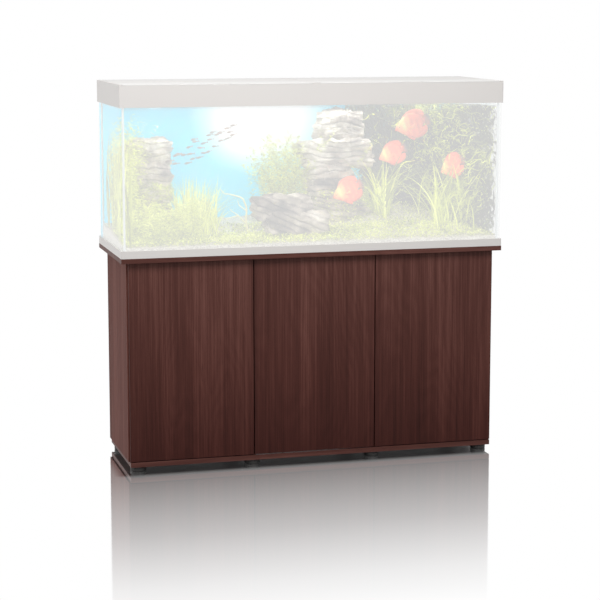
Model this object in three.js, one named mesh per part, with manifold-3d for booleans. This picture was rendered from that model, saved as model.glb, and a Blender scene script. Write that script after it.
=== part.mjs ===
// Aquarium on a three-door cabinet, in millimetres, +Z up, front towards -Y.
// The origin is on the floor, in the middle of the footprint.
import * as THREE from 'three';
import { mergeVertices } from 'three/addons/utils/BufferGeometryUtils.js';
import Module from 'manifold-3d';

const wasm = await Module();
wasm.setup();

// Overall sizes
const TANK_W = 1510;         // width of table top, tank frame and hood
const TANK_D = 510;          // depth of table top, tank frame and hood
const CABINET_H = 822;       // floor to the top of the table top
const TANK_H = 646;          // tank frame's underside to the top of the hood
const FIT = 0.3;             // gap between pieces that rest on each other
const CUT_PAST = 1;          // how far a cutting shape runs past the face that it opens

// Cabinet
const BOARD = 19;            // carcass boards
const TOP_T = 18;            // table top
const SIDE_INSET = 24;       // table top beyond each side panel
const PLATE_INSET = 6;       // side panel beyond the base plate and the doors
const FRONT_INSET = 21;      // table top beyond the doors
const BACK_INSET = 52;       // table top beyond the carcass, for hoses
const BACK_T = 8;            // back panels
const BACK_RECESS = 3;       // back panels behind the carcass's rear edge
const SHELF_Z = 410;         // underside of the shelves
const SHELF_SETBACK = 16;    // shelf's front edge behind the carcass's
const DIVIDER_X = 242.5;     // middle of each divider
const FOOT_H = 20;
const FOOT_R = 30;
const FOOT_NECK = 4;         // step at the top of each foot
const FOOT_NECK_H = 6;       // height of the neck
const FOOT_BEVEL = 2;
const FOOT_INSET_X = 35;     // outer feet from the base plate's ends
const FOOT_INSET_Y = 40;     // feet from the base plate's front and rear edges

// Doors and their fittings
const DOOR_T = 16;
const DOOR_GAP = 3;          // above and below the doors
const DOOR_SPLIT = 4;        // between neighbouring doors
const DOOR_BUFFER = 2;       // between a door and the carcass
const POLE_IN = 4;           // hinge pole from the door's outer front corner, both ways
const HINGE_END = 90;        // hinge's middle from the door's end
const CUP_R = 17.5;
const CUP_DEPTH = 11.5;
const CUP_WALL = 2;
const CUP_EDGE = 5;          // door's edge to the cup
const FLANGE_T = 1.2;
const FLANGE_H = 60;
const FLANGE_HALF_W = 10.85;
const FLANGE_R = 6;
const ARM_L = 70;
const ARM_W = 12;            // along Z
const ARM_T = 10;            // off the panel
const ARM_TAIL = 14;         // slope at the arm's rear end
const ARM_TAIL_DROP = 4;
const ARM_NOSE = 2.5;        // arm's nose behind the carcass's front edge
const ARM_NOSE_W = 3;        // blunt corner of the nose
const ARM_NOSE_ROOT = 8;     // where the nose meets the panel
const PAD_HALF_H = 16;       // mounting plate under the arm
const PAD_HALF_L = 26;
const PAD_R = 4;
const PAD_T = 2.4;
const PAD_Y = 46;
const LATCH_L = 62;
const LATCH_W = 13;
const LATCH_DROP = 34;       // latch below the door's top edge
const PLUNGER_R = 3.5;
const PLUNGER_L = 48;
const PLUNGER_TRAVEL = 3;
const PLUNGER_CLEAR = 0.5;   // around the plunger in its bore, and behind it when it is pressed
const TIP_STEP = 1;          // plunger's tip beyond its shaft
const TIP_BEVEL = 0.4;
const TIP_T = 1.2;
const LATCH_R = 3;
const LATCH_SETBACK = 3;     // latch behind the carcass's front edge, beyond its travel

// Tank
const FRAME_H = 29;          // plastic frame around the tank's foot
const FRAME_WALL = 4;
const FRAME_LEDGE = 20;      // ledge under the bottom pane
const FRAME_LEDGE_T = 5;
const CORNER_R = 5;          // outer corners of frame and hood
const GLASS_T = 10;
const GLASS_INSET = 5;       // glass inside the frame's and the hood's outline
const SEAM = 0.6;            // silicone between panes
const BRACE_W = 120;
const BRACE_T = 8;
const BRACE_DROP = 9;        // brace below the glass rim

// Hood
const HOOD_H = 85;
const HOOD_WALL = 4;
const RIM_DEPTH = 22;        // glass rim above the hood's lower edge
const HOOD_LEDGE = 24;       // ledge that rests on the glass rim
const HOOD_LEDGE_T = 4;
const FLAP_T = 4;
const FLAP_GAP = 1.5;        // around the ends of each flap
const BARREL_GAP = 0.5;      // around a flap's hinge barrel
const BEAM_HALF = 42.5;      // half width of the strip between the flaps
const BEAM_WING = 16;        // shelf under each flap's hinge edge
const BEAM_H = 12;           // beam below the flaps
const RIB_HALF = 15;         // half width of the rib between left and right flaps
const END_STRIP = 12;        // fixed strip beyond the flaps' outer ends
const SHELF_LIP = 9;         // shelf under each flap's end
const SHELF_LIP_T = 8;
const GRIP_W = 90;
const GRIP_DEPTH = 7;
const GRIP_RISE = 2;         // hood wall that stands up in a grip notch
const LAMP_HALF_W = 45;
const LAMP_GAP = 0.1;        // lamp to the beam above it
const LAMP_CORNER = 6;       // chamfer along the lamp's top edges
const LAMP_REST = 12;        // lamp's end on the hood's ledge
const TUBE_R = 8;
const TUBE_Y = 22;
const TUBE_GAP = 5;          // reflector around a tube
const TUBE_RISE = 8.4;       // tube's middle above the lamp's underside
const LAMP_END = 26;         // lamp holders beyond the tubes

// In the tank
const FILTER_W = 136;
const FILTER_D = 108;
const FILTER_H = 495;
const FILTER_WALL = 3;
const FILTER_CLEAR = 3;      // filter box to the glass
const FILTER_SLOTS = 6;
const SLOT_H = 5;
const SLOT_PITCH = 14;
const SLOT_DROP = 40;        // top slot below the box's rim
const SLOT_END = 20;         // slots' ends from the box's corners
const HEATER_R = 11;
const HEATER_L = 310;
const HEATER_HEAD_L = 50;
const HEATER_HEAD_STEP = 3;
const HEATER_TIP = 4;        // rounded foot of the tube
const GROUND_MIN = 22;       // gravel at the front pane
const GROUND_RISE = 46;      // more at the back pane
const GROUND_MOUND = 105;    // and more on the right
const MOUND_U = 0.55;        // middle of the mound, a share of the inside half width
const MOUND_SPREAD = 0.48;
const RIPPLES = [[5, 61, 45], [4, 37, -29]];
const GROUND_CLEAR = 1;      // gravel to the glass
const ROCK_SINK = 0.5;       // gap between a rock and the gravel under it
const ROCK_LUMP = 0.1;       // broad lumps, a share of the radius
const ROCK_STRATA = 0.05;    // layers, a share of the radius
const ROCK_SQUARE = 0.45;    // 0 for a ball, 1 for a box
const ROCK_FILL = 0.88;      // middle of a face, a share of the half size

// Worked out from the sizes above
const TOP_HALF_W = TANK_W / 2;
const TOP_HALF_D = TANK_D / 2;
const SIDE_OUT = TOP_HALF_W - SIDE_INSET;
const SIDE_IN = SIDE_OUT - BOARD;
const DOOR_OUT = SIDE_OUT - PLATE_INSET;
const DOOR_FRONT = -TOP_HALF_D + FRONT_INSET;
const DOOR_BACK = DOOR_FRONT + DOOR_T;
const CARCASS_FRONT = DOOR_BACK + DOOR_BUFFER;
const CARCASS_BACK = TOP_HALF_D - BACK_INSET;
const PLATE_TOP = FOOT_H + BOARD;
const TOP_UNDER = CABINET_H - TOP_T;
const PANEL_LOW = PLATE_TOP + FIT;
const PANEL_HIGH = TOP_UNDER - FIT;
const DOOR_LOW = PLATE_TOP + DOOR_GAP;
const DOOR_HIGH = TOP_UNDER - DOOR_GAP;
const HINGE_Z = [DOOR_LOW + HINGE_END, DOOR_HIGH - HINGE_END];
const LATCH_Z = DOOR_HIGH - LATCH_DROP;
const HOOD_TOP = CABINET_H + TANK_H;
const HOOD_LOW = HOOD_TOP - HOOD_H;
const GLASS_HALF_W = TOP_HALF_W - GLASS_INSET;
const GLASS_HALF_D = TOP_HALF_D - GLASS_INSET;
const FLOOR_PANE = CABINET_H + FIT + FRAME_LEDGE_T + FIT;
const WALL_LOW = FLOOR_PANE + GLASS_T + SEAM;
const RIM = HOOD_LOW + RIM_DEPTH;
const LEDGE_LOW = RIM + FIT;
const LEDGE_TOP = LEDGE_LOW + HOOD_LEDGE_T;
const LAMP_LOW = LEDGE_TOP + FIT;
const FLAP_LOW = HOOD_TOP - FLAP_T;
const FLAP_REST = FLAP_LOW - FIT;
const LAMP_TOP = FLAP_REST - BEAM_H - LAMP_GAP;
const BARREL_R = FLAP_T;
const BARREL_Y = BEAM_HALF + BARREL_GAP + BARREL_R;
const FLAP_OUT = TOP_HALF_W - END_STRIP - FLAP_GAP;
const FLAP_IN = RIB_HALF + FLAP_GAP;
const INSIDE_W = GLASS_HALF_W - GLASS_T;
const INSIDE_D = GLASS_HALF_D - GLASS_T;
const INSIDE_FLOOR = FLOOR_PANE + GLASS_T;

const ROUND = 18;            // sides of small round parts

// Materials
const finish = (color, roughness, metalness = 0) =>
  new THREE.MeshStandardMaterial({ color, roughness, metalness });
const walnut = finish(0x5a3630, 0.5);
const walnutEdge = finish(0x53332c, 0.5);
const carcassBoard = finish(0x6b453d, 0.6);
const footBlack = finish(0x1d1a19, 0.7);
const nickel = finish(0xb9babd, 0.35, 0.9);
const latchGrey = finish(0x8d8f92, 0.6);
const hoodGrey = finish(0xdedad7, 0.45);
const paneGlass = finish(0xdcefee, 0.05);
const lampWhite = finish(0xeceff0, 0.4);
const tubeWhite = finish(0xfbfdff, 0.3);
const filterGrey = finish(0xc9cfc8, 0.6);
const heaterGlass = finish(0xc7ced0, 0.2);
const gravel = finish(0xe4e2cf, 0.95);
const stone = finish(0xe6e0d5, 0.9);

// A mesh with shared vertices merged, flat triangles dropped and faces pointing out.
function weld(geometry) {
  geometry.deleteAttribute('normal');
  geometry.deleteAttribute('uv');
  const merged = mergeVertices(geometry, 1e-4);
  const index = merged.getIndex().array;
  const place = merged.getAttribute('position');
  const a = new THREE.Vector3();
  const b = new THREE.Vector3();
  const c = new THREE.Vector3();
  const kept = [];
  let volume = 0;
  for (let i = 0; i < index.length; i += 3) {
    const [p, q, r] = [index[i], index[i + 1], index[i + 2]];
    if (p === q || q === r || r === p) continue;
    kept.push(p, q, r);
    a.fromBufferAttribute(place, p);
    b.fromBufferAttribute(place, q);
    c.fromBufferAttribute(place, r);
    volume += a.dot(b.cross(c));
  }
  if (volume < 0) kept.reverse();
  merged.setIndex(kept);
  return merged;
}

// A closed mesh as a solid that can be cut and joined.
function solid(geometry) {
  const closed = weld(geometry);
  return new wasm.Manifold(new wasm.Mesh({
    numProp: 3,
    vertProperties: new Float32Array(closed.getAttribute('position').array),
    triVerts: new Uint32Array(closed.getIndex().array),
  }));
}

// A cut or joined solid as a mesh again.
function geometryOf(shape) {
  const mesh = shape.getMesh();
  const geometry = new THREE.BufferGeometry();
  geometry.setAttribute('position', new THREE.BufferAttribute(new Float32Array(mesh.vertProperties), 3));
  geometry.setIndex(new THREE.BufferAttribute(new Uint32Array(mesh.triVerts), 1));
  return geometry;
}

// A box between two limits along each axis.
function slab([x0, x1], [y0, y1], [z0, z1]) {
  const geometry = new THREE.BoxGeometry(x1 - x0, y1 - y0, z1 - z0);
  return geometry.translate((x0 + x1) / 2, (y0 + y1) / 2, (z0 + z1) / 2);
}

// A rectangle with round corners, about the origin.
function roundedRect(halfW, halfD, r) {
  const shape = new THREE.Shape();
  shape.moveTo(-halfW + r, -halfD);
  shape.lineTo(halfW - r, -halfD);
  shape.absarc(halfW - r, -halfD + r, r, -Math.PI / 2, 0);
  shape.lineTo(halfW, halfD - r);
  shape.absarc(halfW - r, halfD - r, r, 0, Math.PI / 2);
  shape.lineTo(-halfW + r, halfD);
  shape.absarc(-halfW + r, halfD - r, r, Math.PI / 2, Math.PI);
  shape.lineTo(-halfW, -halfD + r);
  shape.absarc(-halfW + r, -halfD + r, r, Math.PI, Math.PI * 1.5);
  return shape;
}

// An outline in X and Y carried from z0 to z1.
function upright(shape, z0, z1, curveSegments = 4) {
  const geometry = new THREE.ExtrudeGeometry(shape, { depth: z1 - z0, bevelEnabled: false, curveSegments });
  return geometry.translate(0, 0, z0);
}

// An outline in Y and Z carried from x0 to x1.
function lengthways(shape, x0, x1, curveSegments = 6) {
  const geometry = new THREE.ExtrudeGeometry(shape, { depth: x1 - x0, bevelEnabled: false, curveSegments });
  const turn = new THREE.Matrix4().makeBasis(
    new THREE.Vector3(0, 1, 0), new THREE.Vector3(0, 0, 1), new THREE.Vector3(1, 0, 0));
  return geometry.applyMatrix4(turn).translate(x0, 0, 0);
}

// A profile of [radius, height] pairs turned about Z.
function turned(profile, sides = ROUND) {
  const points = profile.map(([r, h]) => new THREE.Vector2(r, h));
  return new THREE.LatheGeometry(points, sides).rotateX(Math.PI / 2);
}

// A round bar along Y from y0 to y1.
function roundBar(r, x, z, y0, y1) {
  const geometry = new THREE.CylinderGeometry(r, r, y1 - y0, ROUND);
  return geometry.translate(x, (y0 + y1) / 2, z);
}

const aquarium = new THREE.Group();

function add(name, geometry, material, parent = aquarium) {
  const mesh = new THREE.Mesh(geometry, material);
  mesh.name = name;
  parent.add(mesh);
  return mesh;
}

// ---- Cabinet ----

function addCarcass() {
  const depth = [CARCASS_FRONT, CARCASS_BACK];
  const height = [PANEL_LOW, PANEL_HIGH];
  const plate = slab([-DOOR_OUT, DOOR_OUT], [DOOR_FRONT, CARCASS_BACK], [FOOT_H, PLATE_TOP]);
  add('base_plate', plate, walnutEdge);
  const top = slab([-TOP_HALF_W, TOP_HALF_W], [-TOP_HALF_D, TOP_HALF_D], [TOP_UNDER, CABINET_H]);
  add('top_panel', top, walnutEdge);
  add('side_panel_left', slab([-SIDE_OUT, -SIDE_IN], depth, height), walnut);
  add('side_panel_right', slab([SIDE_IN, SIDE_OUT], depth, height), walnut);
  const half = BOARD / 2;
  add('divider_left', slab([-DIVIDER_X - half, -DIVIDER_X + half], depth, height), carcassBoard);
  add('divider_right', slab([DIVIDER_X - half, DIVIDER_X + half], depth, height), carcassBoard);
}

// The two outer bays have a back panel and a shelf, the middle bay is open for hoses.
function addBays() {
  const bay = [DIVIDER_X + BOARD / 2 + FIT, SIDE_IN - FIT];
  const rear = [CARCASS_BACK - BACK_RECESS - BACK_T, CARCASS_BACK - BACK_RECESS];
  const shelfDepth = [CARCASS_FRONT + SHELF_SETBACK, rear[0] - FIT];
  for (const [side, sign] of [['left', -1], ['right', 1]]) {
    const width = sign < 0 ? [-bay[1], -bay[0]] : bay;
    add(`back_panel_${side}`, slab(width, rear, [PANEL_LOW, PANEL_HIGH]), carcassBoard);
    add(`shelf_${side}`, slab(width, shelfDepth, [SHELF_Z, SHELF_Z + BOARD]), carcassBoard);
  }
}

function addFeet() {
  const profile = [
    [0, 0], [FOOT_R - FOOT_BEVEL, 0], [FOOT_R, FOOT_BEVEL], [FOOT_R, FOOT_H - FOOT_NECK_H - FOOT_BEVEL],
    [FOOT_R - FOOT_NECK, FOOT_H - FOOT_NECK_H], [FOOT_R - FOOT_NECK, FOOT_H - FIT], [0, FOOT_H - FIT],
  ];
  const columns = [-DOOR_OUT + FOOT_INSET_X, -DIVIDER_X, DIVIDER_X, DOOR_OUT - FOOT_INSET_X];
  const rows = [['front', DOOR_FRONT + FOOT_INSET_Y], ['back', CARCASS_BACK - FOOT_INSET_Y]];
  for (const [row, y] of rows) {
    columns.forEach((x, i) => {
      const foot = add(`foot_${row}_${i + 1}`, weld(turned(profile)), footBlack);
      foot.position.set(x, y, 0);
    });
  }
}

// ---- Doors ----

// Each door: its two edges, the side that carries its hinges, and the panel faces
// that its hinge arms and its latch are screwed to.
const PANEL_FACE = DIVIDER_X - BOARD / 2;
const BAY_FACE = DIVIDER_X + BOARD / 2;
const SPLIT = DOOR_SPLIT / 2;
const DOORS = [
  { name: 'left', edges: [-DOOR_OUT, -DIVIDER_X - SPLIT], hinge: -1, hingeFace: -SIDE_IN,
    latchFace: -BAY_FACE },
  { name: 'middle', edges: [-DIVIDER_X + SPLIT, DIVIDER_X - SPLIT], hinge: 1, hingeFace: PANEL_FACE,
    latchFace: -PANEL_FACE },
  { name: 'right', edges: [DIVIDER_X + SPLIT, DOOR_OUT], hinge: 1, hingeFace: SIDE_IN, latchFace: BAY_FACE },
];

const cupX = (door) => (door.hinge < 0 ? door.edges[0] : door.edges[1]) - door.hinge * (CUP_EDGE + CUP_R);

function addDoor(door) {
  let panel = solid(slab(door.edges, [DOOR_FRONT, DOOR_BACK], [DOOR_LOW, DOOR_HIGH]));
  for (const z of HINGE_Z) {
    const pocket = roundBar(CUP_R + FIT, cupX(door), z, DOOR_BACK - CUP_DEPTH - FIT, DOOR_BACK + CUT_PAST);
    panel = panel.subtract(solid(pocket));
  }
  add(`door_${door.name}`, geometryOf(panel), walnut);
}

// A hinge cup, open towards +Y, with its two lugs on the door's inner face at y = 0.
function hingeCup() {
  const lip = FIT + FLANGE_T;
  const cup = solid(roundBar(CUP_R, 0, 0, -CUP_DEPTH, lip));
  const lugs = upright(roundedRect(FLANGE_HALF_W, FLANGE_H / 2, FLANGE_R), -lip, -FIT).rotateX(Math.PI / 2);
  const hollow = roundBar(CUP_R - CUP_WALL, 0, 0, CUP_WALL - CUP_DEPTH, lip + CUT_PAST);
  return geometryOf(cup.add(solid(lugs)).subtract(solid(hollow)));
}

// A hinge arm on its mounting plate. The panel is at x <= 0 and its front edge at y = 0.
function hingeArm() {
  const half = ARM_W / 2;
  const plate = roundedRect(PAD_HALF_H, PAD_HALF_L, PAD_R);
  const foot = upright(plate, 0, PAD_T).rotateY(Math.PI / 2).rotateX(Math.PI / 2).translate(FIT, PAD_Y, 0);
  const root = FIT + PAD_T / 2;
  const side = new THREE.Shape();
  side.moveTo(root, ARM_NOSE_ROOT);
  side.lineTo(ARM_T - ARM_NOSE_W, ARM_NOSE);
  side.lineTo(ARM_T, ARM_NOSE * 2);
  side.lineTo(ARM_T, ARM_L - ARM_TAIL);
  side.lineTo(ARM_T - ARM_TAIL_DROP, ARM_L);
  side.lineTo(root, ARM_L);
  const arm = upright(side, -half, half);
  return geometryOf(solid(foot).add(solid(arm)));
}

// A push latch: a housing along Y with a blind bore, and the plunger that slides in it.
function latchHousing() {
  const half = LATCH_W / 2;
  const body = solid(upright(roundedRect(half, half, LATCH_R), 0, LATCH_L).rotateX(-Math.PI / 2));
  const boreEnd = PLUNGER_L + PLUNGER_TRAVEL + PLUNGER_CLEAR;
  const bore = roundBar(PLUNGER_R + PLUNGER_CLEAR, 0, 0, -CUT_PAST, boreEnd);
  return geometryOf(body.subtract(solid(bore)));
}

function latchPlunger(reach) {
  const tip = PLUNGER_R + TIP_STEP;
  const profile = [
    [0, -reach], [PLUNGER_R, -reach], [tip, TIP_BEVEL - reach], [PLUNGER_R, TIP_T - reach],
    [PLUNGER_R, PLUNGER_L - TIP_STEP], [PLUNGER_R - TIP_STEP, PLUNGER_L], [0, PLUNGER_L],
  ];
  return weld(turned(profile, 16).rotateX(-Math.PI / 2));
}

function addDoorFittings(door) {
  HINGE_Z.forEach((z, i) => {
    const height = i === 0 ? 'lower' : 'upper';
    const cup = add(`hinge_cup_${door.name}_${height}`, hingeCup(), nickel);
    cup.position.set(cupX(door), DOOR_BACK, z);
    const arm = add(`hinge_arm_${door.name}_${height}`, hingeArm(), nickel);
    arm.position.set(door.hingeFace, CARCASS_FRONT, z);
    if (door.hinge > 0) arm.rotation.y = Math.PI;
  });
  const latchX = door.hinge < 0 ? door.latchFace - (LATCH_W / 2 + FIT) : door.latchFace + LATCH_W / 2 + FIT;
  const setBack = PLUNGER_TRAVEL + LATCH_SETBACK;
  const housing = add(`latch_housing_${door.name}`, latchHousing(), latchGrey);
  housing.position.set(latchX, CARCASS_FRONT + setBack, LATCH_Z);
  const reach = setBack + DOOR_BUFFER - FIT;
  const plunger = add(`latch_plunger_${door.name}`, latchPlunger(reach), latchGrey);
  plunger.position.copy(housing.position);
}

// ---- Tank ----

function tankFrame() {
  const low = CABINET_H + FIT;
  const outer = solid(upright(roundedRect(TOP_HALF_W, TOP_HALF_D, CORNER_R), low, CABINET_H + FRAME_H));
  const wellW = TOP_HALF_W - FRAME_WALL;
  const wellD = TOP_HALF_D - FRAME_WALL;
  const well = slab([-wellW, wellW], [-wellD, wellD], [low + FRAME_LEDGE_T, CABINET_H + FRAME_H + 1]);
  const holeW = wellW - FRAME_LEDGE;
  const holeD = wellD - FRAME_LEDGE;
  const hole = slab([-holeW, holeW], [-holeD, holeD], [low - 1, low + FRAME_LEDGE_T + 1]);
  return geometryOf(outer.subtract(solid(well)).subtract(solid(hole)));
}

function addTank() {
  add('tank_frame', tankFrame(), hoodGrey);
  const w = GLASS_HALF_W;
  const d = GLASS_HALF_D;
  const wall = [WALL_LOW, RIM];
  add('glass_bottom', slab([-w, w], [-d, d], [FLOOR_PANE, FLOOR_PANE + GLASS_T]), paneGlass);
  add('glass_front', slab([-w, w], [-d, -d + GLASS_T], wall), paneGlass);
  add('glass_back', slab([-w, w], [d - GLASS_T, d], wall), paneGlass);
  const between = [-INSIDE_D + SEAM, INSIDE_D - SEAM];
  add('glass_left', slab([-w, -w + GLASS_T], between, wall), paneGlass);
  add('glass_right', slab([w - GLASS_T, w], between, wall), paneGlass);
  const brace = [RIM - BRACE_DROP - BRACE_T, RIM - BRACE_DROP];
  add('glass_brace', slab([-BRACE_W / 2, BRACE_W / 2], between, brace), paneGlass);
}

// ---- Hood ----

// Skirt over the glass rim, ledge on the rim, and a top grid that carries the flaps.
function hoodFrame() {
  const outline = roundedRect(TOP_HALF_W, TOP_HALF_D, CORNER_R);
  const insideW = TOP_HALF_W - HOOD_WALL;
  const insideD = TOP_HALF_D - HOOD_WALL;
  let frame = solid(upright(outline, HOOD_LOW, HOOD_TOP));
  const cut = (x, y, z) => {
    frame = frame.subtract(solid(slab(x, y, z)));
  };
  const join = (x, y, z) => {
    frame = frame.add(solid(slab(x, y, z)));
  };
  cut([-insideW, insideW], [-insideD, insideD], [HOOD_LOW - 1, LEDGE_LOW]);
  cut([-insideW, insideW], [-insideD, insideD], [LEDGE_TOP, HOOD_TOP + 1]);
  const holeW = insideW - HOOD_LEDGE;
  const holeD = insideD - HOOD_LEDGE;
  cut([-holeW, holeW], [-holeD, holeD], [LEDGE_LOW - 1, LEDGE_TOP + 1]);
  const flapsW = TOP_HALF_W - END_STRIP;
  cut([-flapsW, flapsW], [-TOP_HALF_D - 1, TOP_HALF_D + 1], [FLAP_REST, HOOD_TOP + 1]);
  const bite = 1;
  const reachW = insideW + bite;
  const reachD = insideD + bite;
  for (const sign of [-1, 1]) {
    const span = (a, b) => (sign < 0 ? [-b, -a] : [a, b]);
    join(span(flapsW - SHELF_LIP, reachW), [-reachD, reachD], [FLAP_REST - SHELF_LIP_T, FLAP_REST]);
    join(span(flapsW, reachW), [-reachD, reachD], [FLAP_REST - bite, HOOD_TOP]);
  }
  const wing = BEAM_HALF + BEAM_WING;
  join([-reachW, reachW], [-wing, wing], [FLAP_REST - BEAM_H, FLAP_REST]);
  join([-reachW, reachW], [-BEAM_HALF, BEAM_HALF], [FLAP_REST - bite, HOOD_TOP]);
  const rib = RIB_HALF + SHELF_LIP;
  join([-rib, rib], [-reachD, reachD], [FLAP_REST - SHELF_LIP_T, FLAP_REST]);
  join([-RIB_HALF, RIB_HALF], [-TOP_HALF_D, TOP_HALF_D], [FLAP_REST - bite, HOOD_TOP]);
  for (const sign of [-1, 1]) {
    const trough = new THREE.Shape();
    trough.absarc(sign * BARREL_Y, FLAP_LOW, BARREL_R + BARREL_GAP, 0, Math.PI * 2);
    for (const [x0, x1] of [[-FLAP_OUT, -FLAP_IN], [FLAP_IN, FLAP_OUT]]) {
      const groove = lengthways(trough, x0 - FLAP_GAP, x1 + FLAP_GAP, 8);
      frame = frame.subtract(solid(groove));
    }
  }
  const grips = (FLAP_IN + FLAP_OUT) / 2;
  for (const x of [-grips, grips]) {
    for (const sign of [-1, 1]) {
      const y = [sign * TOP_HALF_D, sign * (TOP_HALF_D - HOOD_WALL)].sort((a, b) => a - b);
      const half = GRIP_W / 2 - FLAP_GAP;
      join([x - half, x + half], y, [FLAP_REST - bite, FLAP_REST + GRIP_RISE]);
    }
  }
  return geometryOf(frame);
}

// A front flap: a plate with a hinge barrel along its inner edge and a grip notch.
function flapPlate() {
  const lip = 1.5;
  const section = new THREE.Shape();
  section.moveTo(-BARREL_Y, HOOD_TOP);
  section.lineTo(-TOP_HALF_D + lip, HOOD_TOP);
  section.absarc(-TOP_HALF_D + lip, HOOD_TOP - lip, lip, Math.PI / 2, Math.PI);
  section.lineTo(-TOP_HALF_D, FLAP_LOW);
  section.lineTo(-BARREL_Y - BARREL_R, FLAP_LOW);
  section.absarc(-BARREL_Y, FLAP_LOW, BARREL_R, Math.PI, Math.PI * 2.5);
  const half = (FLAP_OUT - FLAP_IN) / 2;
  const plate = solid(lengthways(section, -half, half, 8));
  const grip = GRIP_W / 2;
  const notch = slab([-grip, grip], [-TOP_HALF_D - 1, -TOP_HALF_D + GRIP_DEPTH],
    [FLAP_LOW - 1, HOOD_TOP + 1]);
  return geometryOf(plate.subtract(solid(notch)));
}

// The lamp rests on the hood's end ledges and has a reflector trough over each tube.
function lampBar() {
  const reach = TOP_HALF_W - HOOD_WALL - HOOD_LEDGE + LAMP_REST;
  const section = new THREE.Shape();
  section.moveTo(-LAMP_HALF_W, LAMP_LOW);
  section.lineTo(LAMP_HALF_W, LAMP_LOW);
  section.lineTo(LAMP_HALF_W, LAMP_TOP - LAMP_CORNER);
  section.lineTo(LAMP_HALF_W - LAMP_CORNER, LAMP_TOP);
  section.lineTo(-LAMP_HALF_W + LAMP_CORNER, LAMP_TOP);
  section.lineTo(-LAMP_HALF_W, LAMP_TOP - LAMP_CORNER);
  let bar = solid(lengthways(section, -reach, reach));
  const tubeHalf = reach - LAMP_END;
  for (const y of [-TUBE_Y, TUBE_Y]) {
    const trough = new THREE.Shape();
    trough.absarc(y, LAMP_LOW + TUBE_RISE, TUBE_R + TUBE_GAP, 0, Math.PI * 2);
    bar = bar.subtract(solid(lengthways(trough, -tubeHalf - FIT, tubeHalf + FIT, 12)));
  }
  return geometryOf(bar);
}

function addHood() {
  add('hood_frame', hoodFrame(), hoodGrey);
  add('lamp_bar', lampBar(), lampWhite);
  const tubeHalf = TOP_HALF_W - HOOD_WALL - HOOD_LEDGE + LAMP_REST - LAMP_END;
  for (const [place, y] of [['front', -TUBE_Y], ['back', TUBE_Y]]) {
    const tube = new THREE.CylinderGeometry(TUBE_R, TUBE_R, tubeHalf * 2, 16).rotateZ(Math.PI / 2);
    add(`lamp_tube_${place}`, weld(tube), tubeWhite).position.set(0, y, LAMP_LOW + TUBE_RISE);
  }
  const middle = (FLAP_IN + FLAP_OUT) / 2;
  for (const [side, x] of [['left', -middle], ['right', middle]]) {
    add(`flap_front_${side}`, flapPlate(), hoodGrey).position.x = x;
    const back = add(`flap_back_${side}`, flapPlate(), hoodGrey);
    back.position.x = x;
    back.rotation.z = Math.PI;
  }
}

// ---- In the tank ----

const FILTER_X = [INSIDE_W - FILTER_CLEAR - FILTER_W, INSIDE_W - FILTER_CLEAR];
const FILTER_Y = [INSIDE_D - FILTER_CLEAR - FILTER_D, INSIDE_D - FILTER_CLEAR];
const FILTER_LOW = INSIDE_FLOOR + FIT;

// An open-topped box with intake slots in its front wall.
function filterBox() {
  const top = FILTER_LOW + FILTER_H;
  const t = FILTER_WALL;
  let box = solid(slab(FILTER_X, FILTER_Y, [FILTER_LOW, top]));
  const hollow = slab([FILTER_X[0] + t, FILTER_X[1] - t], [FILTER_Y[0] + t, FILTER_Y[1] - t],
    [FILTER_LOW + t, top + 1]);
  box = box.subtract(solid(hollow));
  for (let i = 0; i < FILTER_SLOTS; i += 1) {
    const z = top - SLOT_DROP - i * SLOT_PITCH;
    const width = [FILTER_X[0] + SLOT_END, FILTER_X[1] - SLOT_END];
    const slot = slab(width, [FILTER_Y[0] - 1, FILTER_Y[0] + t + 1], [z, z + SLOT_H]);
    box = box.subtract(solid(slot));
  }
  return geometryOf(box);
}

function heaterRod() {
  const head = HEATER_R + HEATER_HEAD_STEP;
  const neck = HEATER_L - HEATER_HEAD_L;
  const profile = [
    [0, 0], [HEATER_R - HEATER_TIP, 0], [HEATER_R, HEATER_TIP],
    [HEATER_R, neck], [head, neck + HEATER_HEAD_STEP],
    [head, HEATER_L - HEATER_HEAD_STEP], [HEATER_R, HEATER_L], [0, HEATER_L],
  ];
  return weld(turned(profile, 16));
}

// Gravel rises from the front pane to the back one, with a mound on the right.
function groundTop(x, y) {
  const back = (y + INSIDE_D) / (2 * INSIDE_D);
  const across = (x / INSIDE_W - MOUND_U) / MOUND_SPREAD;
  const ripple = RIPPLES.reduce((sum, [height, a, b]) => sum + height * Math.sin(x / a + y / b), 0);
  const mound = GROUND_MOUND * back * Math.exp(-across * across);
  return INSIDE_FLOOR + GROUND_MIN + GROUND_RISE * back + mound + ripple * back;
}

function gravelBed(lift) {
  const w = 2 * (INSIDE_W - GROUND_CLEAR);
  const d = 2 * (INSIDE_D - GROUND_CLEAR);
  const geometry = new THREE.BoxGeometry(w, d, 2, 20, 6, 1);
  const place = geometry.getAttribute('position');
  for (let i = 0; i < place.count; i += 1) {
    const above = place.getZ(i) > 0;
    place.setZ(i, above ? groundTop(place.getX(i), place.getY(i)) + lift : INSIDE_FLOOR + FIT);
  }
  return solid(geometry);
}

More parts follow.
